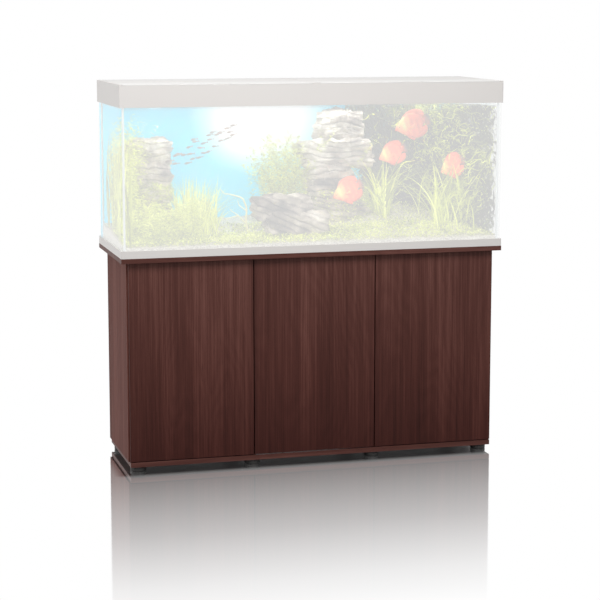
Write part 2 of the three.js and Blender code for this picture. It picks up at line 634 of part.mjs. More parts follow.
// A boulder: a ball stretched to its half sizes, with broad lumps and thin strata.
function boulder([x, y, z], [rx, ry, rz], phase) {
  const geometry = new THREE.IcosahedronGeometry(1, 3);
  const place = geometry.getAttribute('position');
  const p = new THREE.Vector3();
  for (let i = 0; i < place.count; i += 1) {
    p.fromBufferAttribute(place, i);
    const lumps = ROCK_LUMP * Math.sin(3.1 * p.x + phase) * Math.cos(2.7 * p.y - phase);
    const strata = ROCK_STRATA * Math.sin(7 * p.z + phase);
    const square = 1 / Math.max(Math.abs(p.x), Math.abs(p.y), Math.abs(p.z)) ** ROCK_SQUARE;
    p.multiplyScalar((1 + lumps + strata) * square * ROCK_FILL);
    place.setXYZ(i, x + rx * p.x, y + ry * p.y, z + rz * p.z);
  }
  return solid(geometry);
}

const stack = (parts) => parts.reduce((whole, part) => whole.add(part));

// Rock groups: each stone's middle as shares of the tank's inside, its half sizes and a phase.
const at = (u, v, w) => [u * INSIDE_W, v * INSIDE_D, INSIDE_FLOOR + w];
const ROCKS = {
  rock_left: [
    [at(-0.8, 0.34, 352), [112, 88, 64], 0.6],
    [at(-0.81, 0.3, 264), [108, 96, 66], 2.1],
    [at(-0.81, 0.22, 182), [106, 100, 70], 3.3],
    [at(-0.81, 0.16, 85), [108, 104, 86], 0.4],
  ],
  rock_right: [
    [at(0.262, 0.46, 440), [112, 80, 74], 1.2],
    [at(0.236, 0.38, 336), [165, 100, 66], 2.6],
    [at(0.195, 0.3, 223), [110, 96, 80], 4.1],
    [at(0.22, 0.28, 102), [148, 96, 88], 5.2],
  ],
  rock_front: [
    [at(-0.135, -0.42, 144), [130, 58, 58], 0.2],
    [at(-0.06, -0.44, 80), [145, 66, 60], 1.9],
  ],
};

function addContents() {
  add('filter_box', filterBox(), filterGrey);
  const heaterX = (FILTER_X[0] + FILTER_X[1]) / 2;
  const heaterY = (FILTER_Y[0] + FILTER_Y[1]) / 2;
  add('heater', heaterRod(), heaterGlass).position.set(heaterX, heaterY, FILTER_LOW + FILTER_WALL + FIT);
  const keepOut = slab([FILTER_X[0] - 1, INSIDE_W + 1], [FILTER_Y[0] - 1, INSIDE_D + 1],
    [INSIDE_FLOOR, HOOD_LOW]);
  add('gravel_bed', geometryOf(gravelBed(0).subtract(solid(keepOut))), gravel);
  const under = gravelBed(ROCK_SINK);
  for (const [name, stones] of Object.entries(ROCKS)) {
    const group = stack(stones.map((one) => boulder(...one)));
    add(name, geometryOf(group.subtract(under)), stone);
  }
}

addCarcass();
addBays();
addFeet();
for (const door of DOORS) {
  addDoor(door);
  addDoorFittings(door);
}
addTank();
addHood();
addContents();

export default aquarium;
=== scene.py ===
"""Aquarium on a three-door cabinet: finishes, planting, stones, fish and fittings round the CAD frame."""
import math

import bpy
import numpy as np
from bpy.props import FloatProperty, FloatVectorProperty, IntProperty, PointerProperty
from mathutils import Euler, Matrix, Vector


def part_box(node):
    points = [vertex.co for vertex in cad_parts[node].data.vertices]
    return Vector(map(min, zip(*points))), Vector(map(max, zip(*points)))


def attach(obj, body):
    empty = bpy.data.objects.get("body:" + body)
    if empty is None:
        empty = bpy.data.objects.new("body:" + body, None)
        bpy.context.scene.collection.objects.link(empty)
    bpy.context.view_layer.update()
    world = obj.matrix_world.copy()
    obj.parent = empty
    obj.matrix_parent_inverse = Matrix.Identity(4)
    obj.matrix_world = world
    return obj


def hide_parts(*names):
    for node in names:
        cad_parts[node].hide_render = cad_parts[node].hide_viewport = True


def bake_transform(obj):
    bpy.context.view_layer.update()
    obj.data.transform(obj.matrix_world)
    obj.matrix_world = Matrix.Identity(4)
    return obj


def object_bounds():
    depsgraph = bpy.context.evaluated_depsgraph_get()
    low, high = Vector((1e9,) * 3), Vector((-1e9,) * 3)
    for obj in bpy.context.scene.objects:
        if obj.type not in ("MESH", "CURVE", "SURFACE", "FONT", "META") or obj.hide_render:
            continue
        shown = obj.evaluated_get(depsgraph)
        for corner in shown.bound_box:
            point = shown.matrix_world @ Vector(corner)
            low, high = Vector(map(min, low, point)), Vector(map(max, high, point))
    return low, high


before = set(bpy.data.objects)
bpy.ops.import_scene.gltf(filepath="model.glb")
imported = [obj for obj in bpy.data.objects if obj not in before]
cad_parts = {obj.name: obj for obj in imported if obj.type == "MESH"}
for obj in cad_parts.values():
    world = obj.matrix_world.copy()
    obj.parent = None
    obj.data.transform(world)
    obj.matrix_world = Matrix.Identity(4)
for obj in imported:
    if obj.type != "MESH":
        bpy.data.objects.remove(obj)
SIZE_AT_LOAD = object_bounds()

bl_info = {
    "name": "Aquarium on stand",
    "version": (1, 0, 0),
    "blender": (4, 5, 0),
    "location": "3D View > Sidebar > Aquarium",
    "description": "Finishes and fills a planted aquarium on its walnut cabinet",
    "category": "Object",
}


# ---- Places taken from the frame ----

def corner(node, end):
    """One corner of a CAD node's box: end 0 is the lowest, 1 the highest."""
    return np.array(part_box(node)[end])


INSIDE_LOW = np.array([corner("glass_left", 1)[0], corner("glass_front", 1)[1], corner("glass_bottom", 1)[2]])
INSIDE_HIGH = np.array([corner("glass_right", 0)[0], corner("glass_back", 0)[1], corner("glass_brace", 0)[2]])
HALF_W = (INSIDE_HIGH[0] - INSIDE_LOW[0]) / 2
HALF_D = (INSIDE_HIGH[1] - INSIDE_LOW[1]) / 2
WATER_H = INSIDE_HIGH[2] - INSIDE_LOW[2]
BED = INSIDE_LOW[2]

GROUND_MIN = 0.022       # gravel at the front pane
GROUND_RISE = 0.046      # more at the back pane
GROUND_MOUND = 0.105     # and more on the right


def inside(u, v, w):
    """A place in the tank from shares: u and v from -1 to 1 across and back, w from 0 to 1 up."""
    return np.array([u * HALF_W, v * HALF_D, BED + w * WATER_H])


def ground(x, y):
    """Height of the gravel: a rise to the back, a bell-shaped mound on the right and two sine ripples."""
    back = (y + HALF_D) / (2 * HALF_D)
    across = (x / HALF_W - 0.55) / 0.48
    ripple = 0.005 * np.sin(x / 0.061 + y / 0.045) + 0.004 * np.sin(x / 0.037 - y / 0.029)
    mound = GROUND_MOUND * np.exp(-across * across)
    return BED + GROUND_MIN + GROUND_RISE * back + mound * back + ripple * back


# ---- Settings ----

class AquariumStage(bpy.types.PropertyGroup):
    """Camera, floor and lights."""
    camera_place: FloatVectorProperty(
        name="Camera place", description="Where the camera stands", default=(-1.907, -6.925, 1.739),
        size=3, subtype="TRANSLATION", unit="LENGTH")
    camera_yaw: FloatProperty(
        name="Camera yaw", description="Turn to the right of straight ahead",
        default=math.radians(15.43), subtype="ANGLE")
    camera_pitch: FloatProperty(
        name="Camera pitch", description="Tilt below level", default=math.radians(8.08), subtype="ANGLE")
    camera_lens: FloatProperty(
        name="Lens", description="Focal length in millimetres", default=109.8, min=10.0)
    camera_shift: FloatProperty(
        name="Shift", description="Vertical lens shift, a share of the frame", default=-0.05)
    sky: FloatProperty(
        name="Fill light", description="Strength of the even light from all round", default=0.62, min=0.0)
    key_power: FloatProperty(
        name="Key light", description="Power of the overhead front softbox", default=72.0, min=0.0,
        unit="POWER")
    side_power: FloatProperty(
        name="Side light", description="Power of the softbox on the left", default=40.0, min=0.0,
        unit="POWER")
    floor_gloss: FloatProperty(
        name="Floor gloss", description="Mirror share of the floor at the object's foot",
        default=0.82, min=0.0, max=1.0, subtype="FACTOR")
    floor_bounce: FloatProperty(
        name="Floor bounce", description="How much light the floor throws back on the object", default=0.30,
        min=0.0, max=1.0, subtype="FACTOR")


class AquariumCabinet(bpy.types.PropertyGroup):
    """Colours and sizes of the cabinet's finish."""
    walnut_dark: FloatVectorProperty(
        name="Walnut, dark", description="Colour of the dark growth lines", default=(0.036, 0.0110, 0.0086),
        size=3, subtype="COLOR", min=0.0, max=1.0)
    walnut_mid: FloatVectorProperty(
        name="Walnut, middle", description="Colour of most of the wood", default=(0.096, 0.0360, 0.0290),
        size=3, subtype="COLOR", min=0.0, max=1.0)
    walnut_light: FloatVectorProperty(
        name="Walnut, light", description="Colour of the pale streaks", default=(0.190, 0.084, 0.069),
        size=3, subtype="COLOR", min=0.0, max=1.0)
    edge_round: FloatProperty(
        name="Edge round", description="Radius on the boards' edges", default=0.0008, min=0.0, unit="LENGTH")


class AquariumTank(bpy.types.PropertyGroup):
    """Glass, hood and backdrop."""
    # Painted light: the panes' white tint is emitted, not lit.
    veil: FloatProperty(
        name="White tint", description="How milky the panes' outer faces are", default=0.60,
        min=0.0, max=1.0, subtype="FACTOR")
    hood_colour: FloatVectorProperty(
        name="Hood", description="Colour of the hood and the tank's foot frame", default=(0.66, 0.635, 0.615),
        size=3, subtype="COLOR", min=0.0, max=1.0)
    lid_colour: FloatVectorProperty(
        name="Flaps", description="Colour of the hood's flaps", default=(0.68, 0.67, 0.655),
        size=3, subtype="COLOR", min=0.0, max=1.0)
    backdrop_blue: FloatVectorProperty(
        name="Backdrop", description="Blue of the film behind the tank", default=(0.0, 0.60, 0.84),
        size=3, subtype="COLOR", min=0.0, max=1.0)
    lamp_strength: FloatProperty(
        name="Lamp", description="Brightness of the two tubes", default=20.0, min=0.0)


class AquariumPlanting(bpy.types.PropertyGroup):
    """How densely the tank is planted."""
    carpet_leaves: IntProperty(
        name="Carpet leaves", description="Leaves in the low carpet", default=13500, min=100)
    moss_leaves: IntProperty(
        name="Moss leaves", description="Leaves on the stones on the left", default=9500, min=100)
    wall_leaves: IntProperty(
        name="Wall leaves", description="Leaves in the thicket on the right", default=12500, min=100)


class AquariumFish(bpy.types.PropertyGroup):
    """The fish."""
    disc_length: FloatProperty(
        name="Disc fish length", description="Nose to tail of the largest disc fish", default=0.15, min=0.02,
        unit="LENGTH")
    shoal_count: IntProperty(name="Shoal", description="Small fish in the shoal", default=30, min=1)
    shoal_length: FloatProperty(
        name="Shoal fish length", description="Nose to tail of a small fish", default=0.031, min=0.005,
        unit="LENGTH")


# ---- Mesh making ----

def hashed(cell, seed):
    """A fixed random number from 0 to 1 for each whole-number cell."""
    n = cell[..., 0] * 374761393 + cell[..., 1] * 668265263 + cell[..., 2] * 1440662683 + seed * 1013904223
    n = n & 0xFFFFFFFF
    n = ((n ^ (n >> 13)) * 1274126177) & 0xFFFFFFFF
    return ((n ^ (n >> 16)) & 0xFFFF) / 65535.0


def value_noise(p, seed=0):
    """Smooth noise from -1 to 1: random values at whole-number corners, blended by 3f^2 - 2f^3."""
    cell = np.floor(p).astype(np.int64)
    f = p - cell
    f = f * f * (3 - 2 * f)
    total = 0
    for corner_step in np.ndindex(2, 2, 2):
        weight = np.prod(np.where(corner_step, f, 1 - f), axis=-1)
        total = total + weight * hashed(cell + np.array(corner_step), seed)
    return total * 2 - 1


def fractal(p, octaves=4, seed=0):
    """Octaves of noise, each twice as fine and half as strong as the last."""
    return sum(value_noise(p * 2.0 ** i, seed + i) * 0.5 ** i for i in range(octaves))


def unit(v):
    """Vectors scaled to length 1."""
    return v / np.maximum(np.linalg.norm(v, axis=-1, keepdims=True), 1e-12)


def ring_faces(index):
    """Faces of rows of rings, index (many, rings, sides): walls between rings and a cap on each end."""
    turn = np.roll(index, -1, axis=2)
    walls = np.stack([index[:, :-1], turn[:, :-1], turn[:, 1:], index[:, 1:]], axis=-1).reshape(-1, 4)
    return [walls, index[:, 0, ::-1], index[:, -1, :]]


def sweep(path, half_w, half_t, side, sides=4):
    """Flat or round bars along many paths at once, path (many, steps, 3). Each ring is an ellipse in the plane
    across the path: half_w cos(a) along side, half_t sin(a) square to it."""
    along = unit(np.gradient(path, axis=1))
    side = np.broadcast_to(side, path.shape)
    across = unit(side - np.sum(side * along, axis=-1, keepdims=True) * along)
    up = np.cross(along, across)
    a = np.arange(sides) / sides * 2 * np.pi
    w = np.broadcast_to(half_w, path.shape[:2])[..., None, None]
    t = np.broadcast_to(half_t, path.shape[:2])[..., None, None]
    ring = across[..., None, :] * np.cos(a)[:, None] * w + up[..., None, :] * np.sin(a)[:, None] * t
    verts = path[..., None, :] + ring
    index = np.arange(verts.size // 3).reshape(verts.shape[:3])
    return verts.reshape(-1, 3), ring_faces(index)


def turned(profile, origin, axis, sides=24):
    """A profile of (radius, height) turned about axis through origin: each point makes one ring."""
    profile = np.array(profile, float)
    axis = unit(np.array(axis, float))
    across = unit(np.cross(axis, [0.31, 0.52, 0.79]))
    up = np.cross(axis, across)
    a = np.arange(sides) / sides * 2 * np.pi
    ring = np.cos(a)[:, None] * across + np.sin(a)[:, None] * up
    verts = np.array(origin) + profile[:, 1, None, None] * axis + profile[:, 0, None, None] * ring
    index = np.arange(len(profile) * sides).reshape(1, len(profile), sides)
    return verts.reshape(-1, 3), ring_faces(index)


def slab(low, high):
    """A box between two corners, as two square rings."""
    (x0, y0, z0), (x1, y1, z1) = low, high
    loop = [(x0, y0), (x1, y0), (x1, y1), (x0, y1)]
    verts = np.array([(x, y, z) for z in (z0, z1) for x, y in loop])
    return verts, ring_faces(np.arange(8).reshape(1, 2, 4))


def joined(parts):
    """Several (vertices, faces) as one."""
    verts = []
    faces = []
    start = 0
    for part_verts, part_faces in parts:
        verts.append(part_verts)
        faces += [f + start for f in part_faces]
        start += len(part_verts)
    return np.concatenate(verts), faces


def outward(verts, faces):
    """The faces, turned over where the enclosed volume, the sum of a.(b x c)/6, comes out negative."""
    volume = 0.0
    for f in faces:
        for i in range(1, f.shape[1] - 1):
            a, b, c = verts[f[:, 0]], verts[f[:, i]], verts[f[:, i + 1]]
            volume += np.sum(a * np.cross(b, c))
    return faces if volume > 0 else [f[:, ::-1] for f in faces]


def build(name, part, material, tint=None, body="root", sharp=None):
    """A piece from (vertices, faces). tint is a number per vertex that its material reads."""
    verts, faces = part
    faces = outward(verts, faces)
    mesh = bpy.data.meshes.new(name)
    mesh.vertices.add(len(verts))
    mesh.vertices.foreach_set("co", np.asarray(verts, np.float32).ravel())
    corners = np.concatenate([f.ravel() for f in faces]).astype(np.int32)
    sizes = np.concatenate([np.full(len(f), f.shape[1]) for f in faces])
    mesh.loops.add(len(corners))
    mesh.loops.foreach_set("vertex_index", corners)
    mesh.polygons.add(len(sizes))
    mesh.polygons.foreach_set("loop_start", np.concatenate([[0], np.cumsum(sizes)[:-1]]).astype(np.int32))
    mesh.update(calc_edges=True)
    mesh.validate()
    mesh.shade_smooth()
    if sharp is not None:
        mesh.set_sharp_from_angle(angle=math.radians(sharp))
    if tint is not None:
        attribute = mesh.attributes.new("tint", "FLOAT", "POINT")
        attribute.data.foreach_set("value", np.asarray(tint, np.float32).ravel())
    mesh.materials.append(material)
    piece = bpy.data.objects.new(name, mesh)
    bpy.context.scene.collection.objects.link(piece)
    if body:
        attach(piece, body)
    return piece


# ---- Material making ----

def node_in(tree, kind, **values):
    """A node of that kind. A value named after an input sets it, and any other sets a property."""
    node = tree.nodes.new(kind)
    for name, value in values.items():
        label = name.replace("_", " ")
        if label in node.inputs:
            node.inputs[label].default_value = value
        else:
            setattr(node, name, value)
    return node


def ramp(tree, stops, source, interpolation="LINEAR"):
    """A colour ramp with (place, colour) stops, fed by source."""
    node = tree.nodes.new("ShaderNodeValToRGB")
    elements = node.color_ramp.elements
    node.color_ramp.interpolation = interpolation
    while len(elements) < len(stops):
        elements.new(0.5)
    for element, (place, colour) in zip(elements, stops):
        element.position = place
        element.color = (*colour, 1.0)
    tree.links.new(source, node.inputs["Fac"])
    return node.outputs["Color"]


def grey(value):
    """A grey as a colour."""
    return (value, value, value)


def maths(tree, operation, a, b=None, c=None, clamp=False):
    """One sum on sockets or numbers."""
    node = node_in(tree, "ShaderNodeMath", operation=operation, use_clamp=clamp)
    for socket, value in zip(node.inputs, (a, b, c)):
        if value is None:
            continue
        if isinstance(value, (int, float)):
            socket.default_value = value
        else:
            tree.links.new(value, socket)
    return node.outputs["Value"]


def blend_colours(tree, fac, a, b, mode="MIX"):
    """Two colours mixed."""
    node = node_in(tree, "ShaderNodeMix", data_type="RGBA", blend_type=mode)
    for socket, value in ((node.inputs[0], fac), (node.inputs[6], a), (node.inputs[7], b)):
        if isinstance(value, (int, float)):
            socket.default_value = value
        elif isinstance(value, tuple):
            socket.default_value = (*value, 1.0)
        else:
            tree.links.new(value, socket)
    return node.outputs[2]


def noise(tree, vector, scale, detail=3.0, roughness=0.5, distortion=0.0):
    """Blender's noise at a scale, as a number from about 0 to 1."""
    node = node_in(
        tree, "ShaderNodeTexNoise", Scale=scale, Detail=detail, Roughness=roughness, Distortion=distortion)
    tree.links.new(vector, node.inputs["Vector"])
    return node.outputs["Fac"]


def new_group(name, inputs, outputs):
    """A shader node group with (name, socket type, default) inputs and (name, socket type) outputs."""
    group = bpy.data.node_groups.new(name, "ShaderNodeTree")
    for label, kind, default in inputs:
        socket = group.interface.new_socket(label, in_out="INPUT", socket_type=kind)
        if default is not None:
            socket.default_value = default
    for label, kind in outputs:
        group.interface.new_socket(label, in_out="OUTPUT", socket_type=kind)
    return group, group.nodes.new("NodeGroupInput"), group.nodes.new("NodeGroupOutput")


def walnut_group():
    """Wood grain along Z: broad figure bends fine growth lines, with pale streaks and short dark pores. The
    colour is also multiplied darker towards the foot by the height above the floor: painted shade for light
    falling off low on the cabinet."""
    if "Walnut grain and painted foot shade" in bpy.data.node_groups:
        return bpy.data.node_groups["Walnut grain and painted foot shade"]
    colour = "NodeSocketColor"
    number = "NodeSocketFloat"
    group, start, end = new_group(
        "Walnut grain and painted foot shade",
        [("Vector", "NodeSocketVector", None), ("Dark", colour, None), ("Middle", colour, None),
         ("Light", colour, None), ("Contrast", number, 1.0), ("Height", number, 1.0)],
        [("Color", colour), ("Roughness", number), ("Height", number)])

    def stretched(across, along):
        node = node_in(group, "ShaderNodeMapping", Scale=(across, across, along))
        group.links.new(start.outputs["Vector"], node.inputs["Vector"])
        return node.outputs["Vector"]

    figure = noise(group, stretched(3.0, 0.7), 1.0, 2.0, 0.5, 0.3)
    parts = node_in(group, "ShaderNodeSeparateXYZ")
    group.links.new(start.outputs["Vector"], parts.inputs[0])
    bent = maths(group, "MULTIPLY_ADD", figure, 150.0, maths(group, "MULTIPLY", parts.outputs["X"], 90.0))
    lines = maths(group, "SINE", bent)
    bands = noise(group, stretched(9.0, 0.45), 1.0, 2.0, 0.5)
    streaks = noise(group, stretched(48.0, 0.8), 1.0, 3.0, 0.6, 0.15)
    threads = noise(group, stretched(210.0, 2.2), 1.0, 2.0, 0.6)
    pores = noise(group, stretched(900.0, 22.0), 1.0, 1.0, 0.5)
    mixed = maths(group, "MULTIPLY", lines, 0.035)
    for layer, weight in ((bands, 0.75), (streaks, 0.85), (threads, 0.75), (figure, 0.25)):
        mixed = maths(group, "MULTIPLY_ADD", maths(group, "SUBTRACT", layer, 0.5), weight, mixed)
    centred = maths(group, "MULTIPLY", mixed, start.outputs["Contrast"])
    level = maths(group, "ADD", centred, 0.5, clamp=True)
    low = maths(group, "MULTIPLY", level, 2.0, clamp=True)
    high = maths(group, "SUBTRACT", maths(group, "MULTIPLY", level, 2.0), 1.0, clamp=True)
    tone = blend_colours(group, low, start.outputs["Dark"], start.outputs["Middle"])
    tone = blend_colours(group, high, tone, start.outputs["Light"])
    pore = maths(group, "LESS_THAN", pores, 0.36)
    tone = blend_colours(group, maths(group, "MULTIPLY", pore, 0.35), tone, start.outputs["Dark"])
    # Painted shade: a ramp by height multiplies the colour darker towards the floor.
    depth = maths(group, "DIVIDE", start.outputs["Height"], 0.80, clamp=True)
    foot = ramp(group, [(0.0, (0.47, 0.31, 0.29)), (0.45, (0.74, 0.63, 0.61)), (1.0, (1.0, 1.0, 1.0))], depth)
    group.links.new(blend_colours(group, 1.0, tone, foot, "MULTIPLY"), end.inputs["Color"])
    group.links.new(maths(group, "MULTIPLY_ADD", threads, 0.18, 0.36), end.inputs["Roughness"])
    group.links.new(maths(group, "MULTIPLY_ADD", pore, -0.6, threads), end.inputs["Height"])
    return group


def grain_group():
    """The fine grain of moulded plastic or drawn metal: slow colour drift, dust on top and small bumps."""
    if "Fine grain" in bpy.data.node_groups:
        return bpy.data.node_groups["Fine grain"]
    number = "NodeSocketFloat"
    group, start, end = new_group(
        "Fine grain",
        [("Base", "NodeSocketColor", None), ("Scale", number, 900.0), ("Drift", number, 0.08),
         ("Dust", number, 0.0), ("Rough", number, 0.4)],
        [("Color", "NodeSocketColor"), ("Roughness", number), ("Height", number)])
    place = node_in(group, "ShaderNodeTexCoord").outputs["Object"]
    fine = node_in(group, "ShaderNodeTexNoise", Detail=2.0)
    group.links.new(place, fine.inputs["Vector"])
    group.links.new(start.outputs["Scale"], fine.inputs["Scale"])
    slow = noise(group, place, 7.0, 4.0, 0.6)
    shade = maths(group, "MULTIPLY_ADD", maths(group, "SUBTRACT", slow, 0.5), start.outputs["Drift"], 1.0)
    tone = node_in(group, "ShaderNodeVectorMath", operation="SCALE")
    group.links.new(start.outputs["Base"], tone.inputs[0])
    group.links.new(shade, tone.inputs["Scale"])
    facing = node_in(group, "ShaderNodeNewGeometry").outputs["Normal"]
    parts = node_in(group, "ShaderNodeSeparateXYZ")
    group.links.new(facing, parts.inputs[0])
    up = maths(group, "MULTIPLY", maths(group, "MAXIMUM", parts.outputs["Z"], 0.0), start.outputs["Dust"])
    specks = noise(group, place, 160.0, 3.0, 0.7)
    dust = maths(group, "MULTIPLY", up, specks, clamp=True)
    dusty = blend_colours(group, dust, tone.outputs["Vector"], (0.86, 0.85, 0.83))
    group.links.new(dusty, end.inputs["Color"])
    rough = maths(group, "MULTIPLY_ADD", maths(group, "SUBTRACT", fine.outputs["Fac"], 0.5), 0.16,
                  start.outputs["Rough"])
    group.links.new(maths(group, "MULTIPLY_ADD", dust, 0.3, rough, clamp=True), end.inputs["Roughness"])
    group.links.new(fine.outputs["Fac"], end.inputs["Height"])
    return group


def principled(name, **values):
    """A material with one Principled shader. Returns the material, its tree and the shader."""
    material = bpy.data.materials.new(name)
    material.use_nodes = True
    tree = material.node_tree
    shader = tree.nodes["Principled BSDF"]
    for label, value in values.items():
        shader.inputs[label.replace("_", " ")].default_value = value
    return material, tree, shader


def bump_into(tree, shader, height, strength, distance):
    """Bumps from a height."""
    bump = node_in(tree, "ShaderNodeBump", Strength=strength, Distance=distance)
    tree.links.new(height, bump.inputs["Height"])
    tree.links.new(bump.outputs["Normal"], shader.inputs["Normal"])


def walnut(name, shift, along_x=False, contrast=1.0, shade=1.0, painted_foot_shade=False, sheen=0.12):
    """Walnut laminate. shift picks the stretch of veneer, along_x lays the grain level, and the foot flag
    darkens the colour towards the floor as painted shade."""
    settings = bpy.context.scene.aquarium_cabinet
    material, tree, shader = principled(name, Specular_IOR_Level=sheen)
    place = node_in(tree, "ShaderNodeTexCoord").outputs["Object"]
    parts = node_in(tree, "ShaderNodeSeparateXYZ")
    tree.links.new(place, parts.inputs[0])
    x, y, z = (parts.outputs[axis] for axis in "XYZ")
    across = maths(tree, "ADD", z, y) if along_x else maths(tree, "ADD", x, y)
    run = x if along_x else z
    turned_place = node_in(tree, "ShaderNodeCombineXYZ")
    tree.links.new(across, turned_place.inputs["X"])
    tree.links.new(run, turned_place.inputs["Z"])
    moved = node_in(tree, "ShaderNodeMapping", Location=(shift, shift * 0.37, shift * 0.61))
    tree.links.new(turned_place.outputs["Vector"], moved.inputs["Vector"])
    grain = tree.nodes.new("ShaderNodeGroup")
    grain.node_tree = walnut_group()
    grain.inputs["Contrast"].default_value = contrast
    for label, colour in (("Dark", settings.walnut_dark), ("Middle", settings.walnut_mid),
                          ("Light", settings.walnut_light)):
        grain.inputs[label].default_value = (*(channel * shade for channel in colour), 1.0)
    tree.links.new(moved.outputs["Vector"], grain.inputs["Vector"])
    # Painted shade: the height drives the darkening towards the foot.
    if painted_foot_shade:
        tree.links.new(z, grain.inputs["Height"])
    tree.links.new(grain.outputs["Color"], shader.inputs["Base Color"])
    tree.links.new(grain.outputs["Roughness"], shader.inputs["Roughness"])
    bump_into(tree, shader, grain.outputs["Height"], 0.25, 0.0002)
    return material


def fine_finish(name, colour, rough, metal=0.0, scale=900.0, drift=0.08, dust=0.0, bump=0.15, **values):
    """Plastic or metal with the fine grain group."""
    material, tree, shader = principled(name, Metallic=metal, **values)
    grain = tree.nodes.new("ShaderNodeGroup")
    grain.node_tree = grain_group()
    grain.inputs["Base"].default_value = (*colour, 1.0)
    grain.inputs["Scale"].default_value = scale
    grain.inputs["Drift"].default_value = drift
    grain.inputs["Dust"].default_value = dust
    grain.inputs["Rough"].default_value = rough
    tree.links.new(grain.outputs["Color"], shader.inputs["Base Color"])
    tree.links.new(grain.outputs["Roughness"], shader.inputs["Roughness"])
    bump_into(tree, shader, grain.outputs["Height"], bump, 0.0003)
    return material


def tinted(name, stops, rough=0.5, detail_scale=60.0, bump=0.3, distance=0.001, glow=0.0, through=0.0):
    """A finish whose colour follows the piece's tint through a ramp, with a little noise on top."""
    material, tree, shader = principled(name, Roughness=rough, Specular_IOR_Level=0.3)
    place = node_in(tree, "ShaderNodeTexCoord").outputs["Object"]
    tint = node_in(tree, "ShaderNodeAttribute", attribute_name="tint")
    speckle = noise(tree, place, detail_scale, 4.0, 0.6)
    centred = maths(tree, "SUBTRACT", speckle, 0.5)
    level = maths(tree, "MULTIPLY_ADD", centred, 0.35, tint.outputs["Fac"], clamp=True)
    colour = ramp(tree, stops, level)
    tree.links.new(colour, shader.inputs["Base Color"])
    # Painted light: with glow the finish emits its own colour, so the leaves, stones, fish and twig glow though
    # they are no lamp.
    if glow:
        tree.links.new(colour, shader.inputs["Emission Color"])
        shader.inputs["Emission Strength"].default_value = glow
    if through:
        shader.inputs["Subsurface Weight"].default_value = through
    bump_into(tree, shader, speckle, bump, distance)
    return material


def finish_node(node, material, bevel=0.0, segments=2):
    """A better material on a CAD node, with its edges softened where bevel is given."""
    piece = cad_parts[node]
    piece.data.materials.clear()
    piece.data.materials.append(material)
    if bevel:
        weld = piece.modifiers.new("Weld", "WELD")
        weld.merge_threshold = 1e-5
        soften = piece.modifiers.new("Edges", "BEVEL")
        soften.width = bevel
        soften.segments = segments
        soften.limit_method = "ANGLE"
        soften.angle_limit = math.radians(35)
        soften.harden_normals = True


def nodes_like(*starts):
    """CAD nodes whose names start so, in order."""
    return sorted(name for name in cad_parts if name.startswith(starts))


# ---- Operators ----

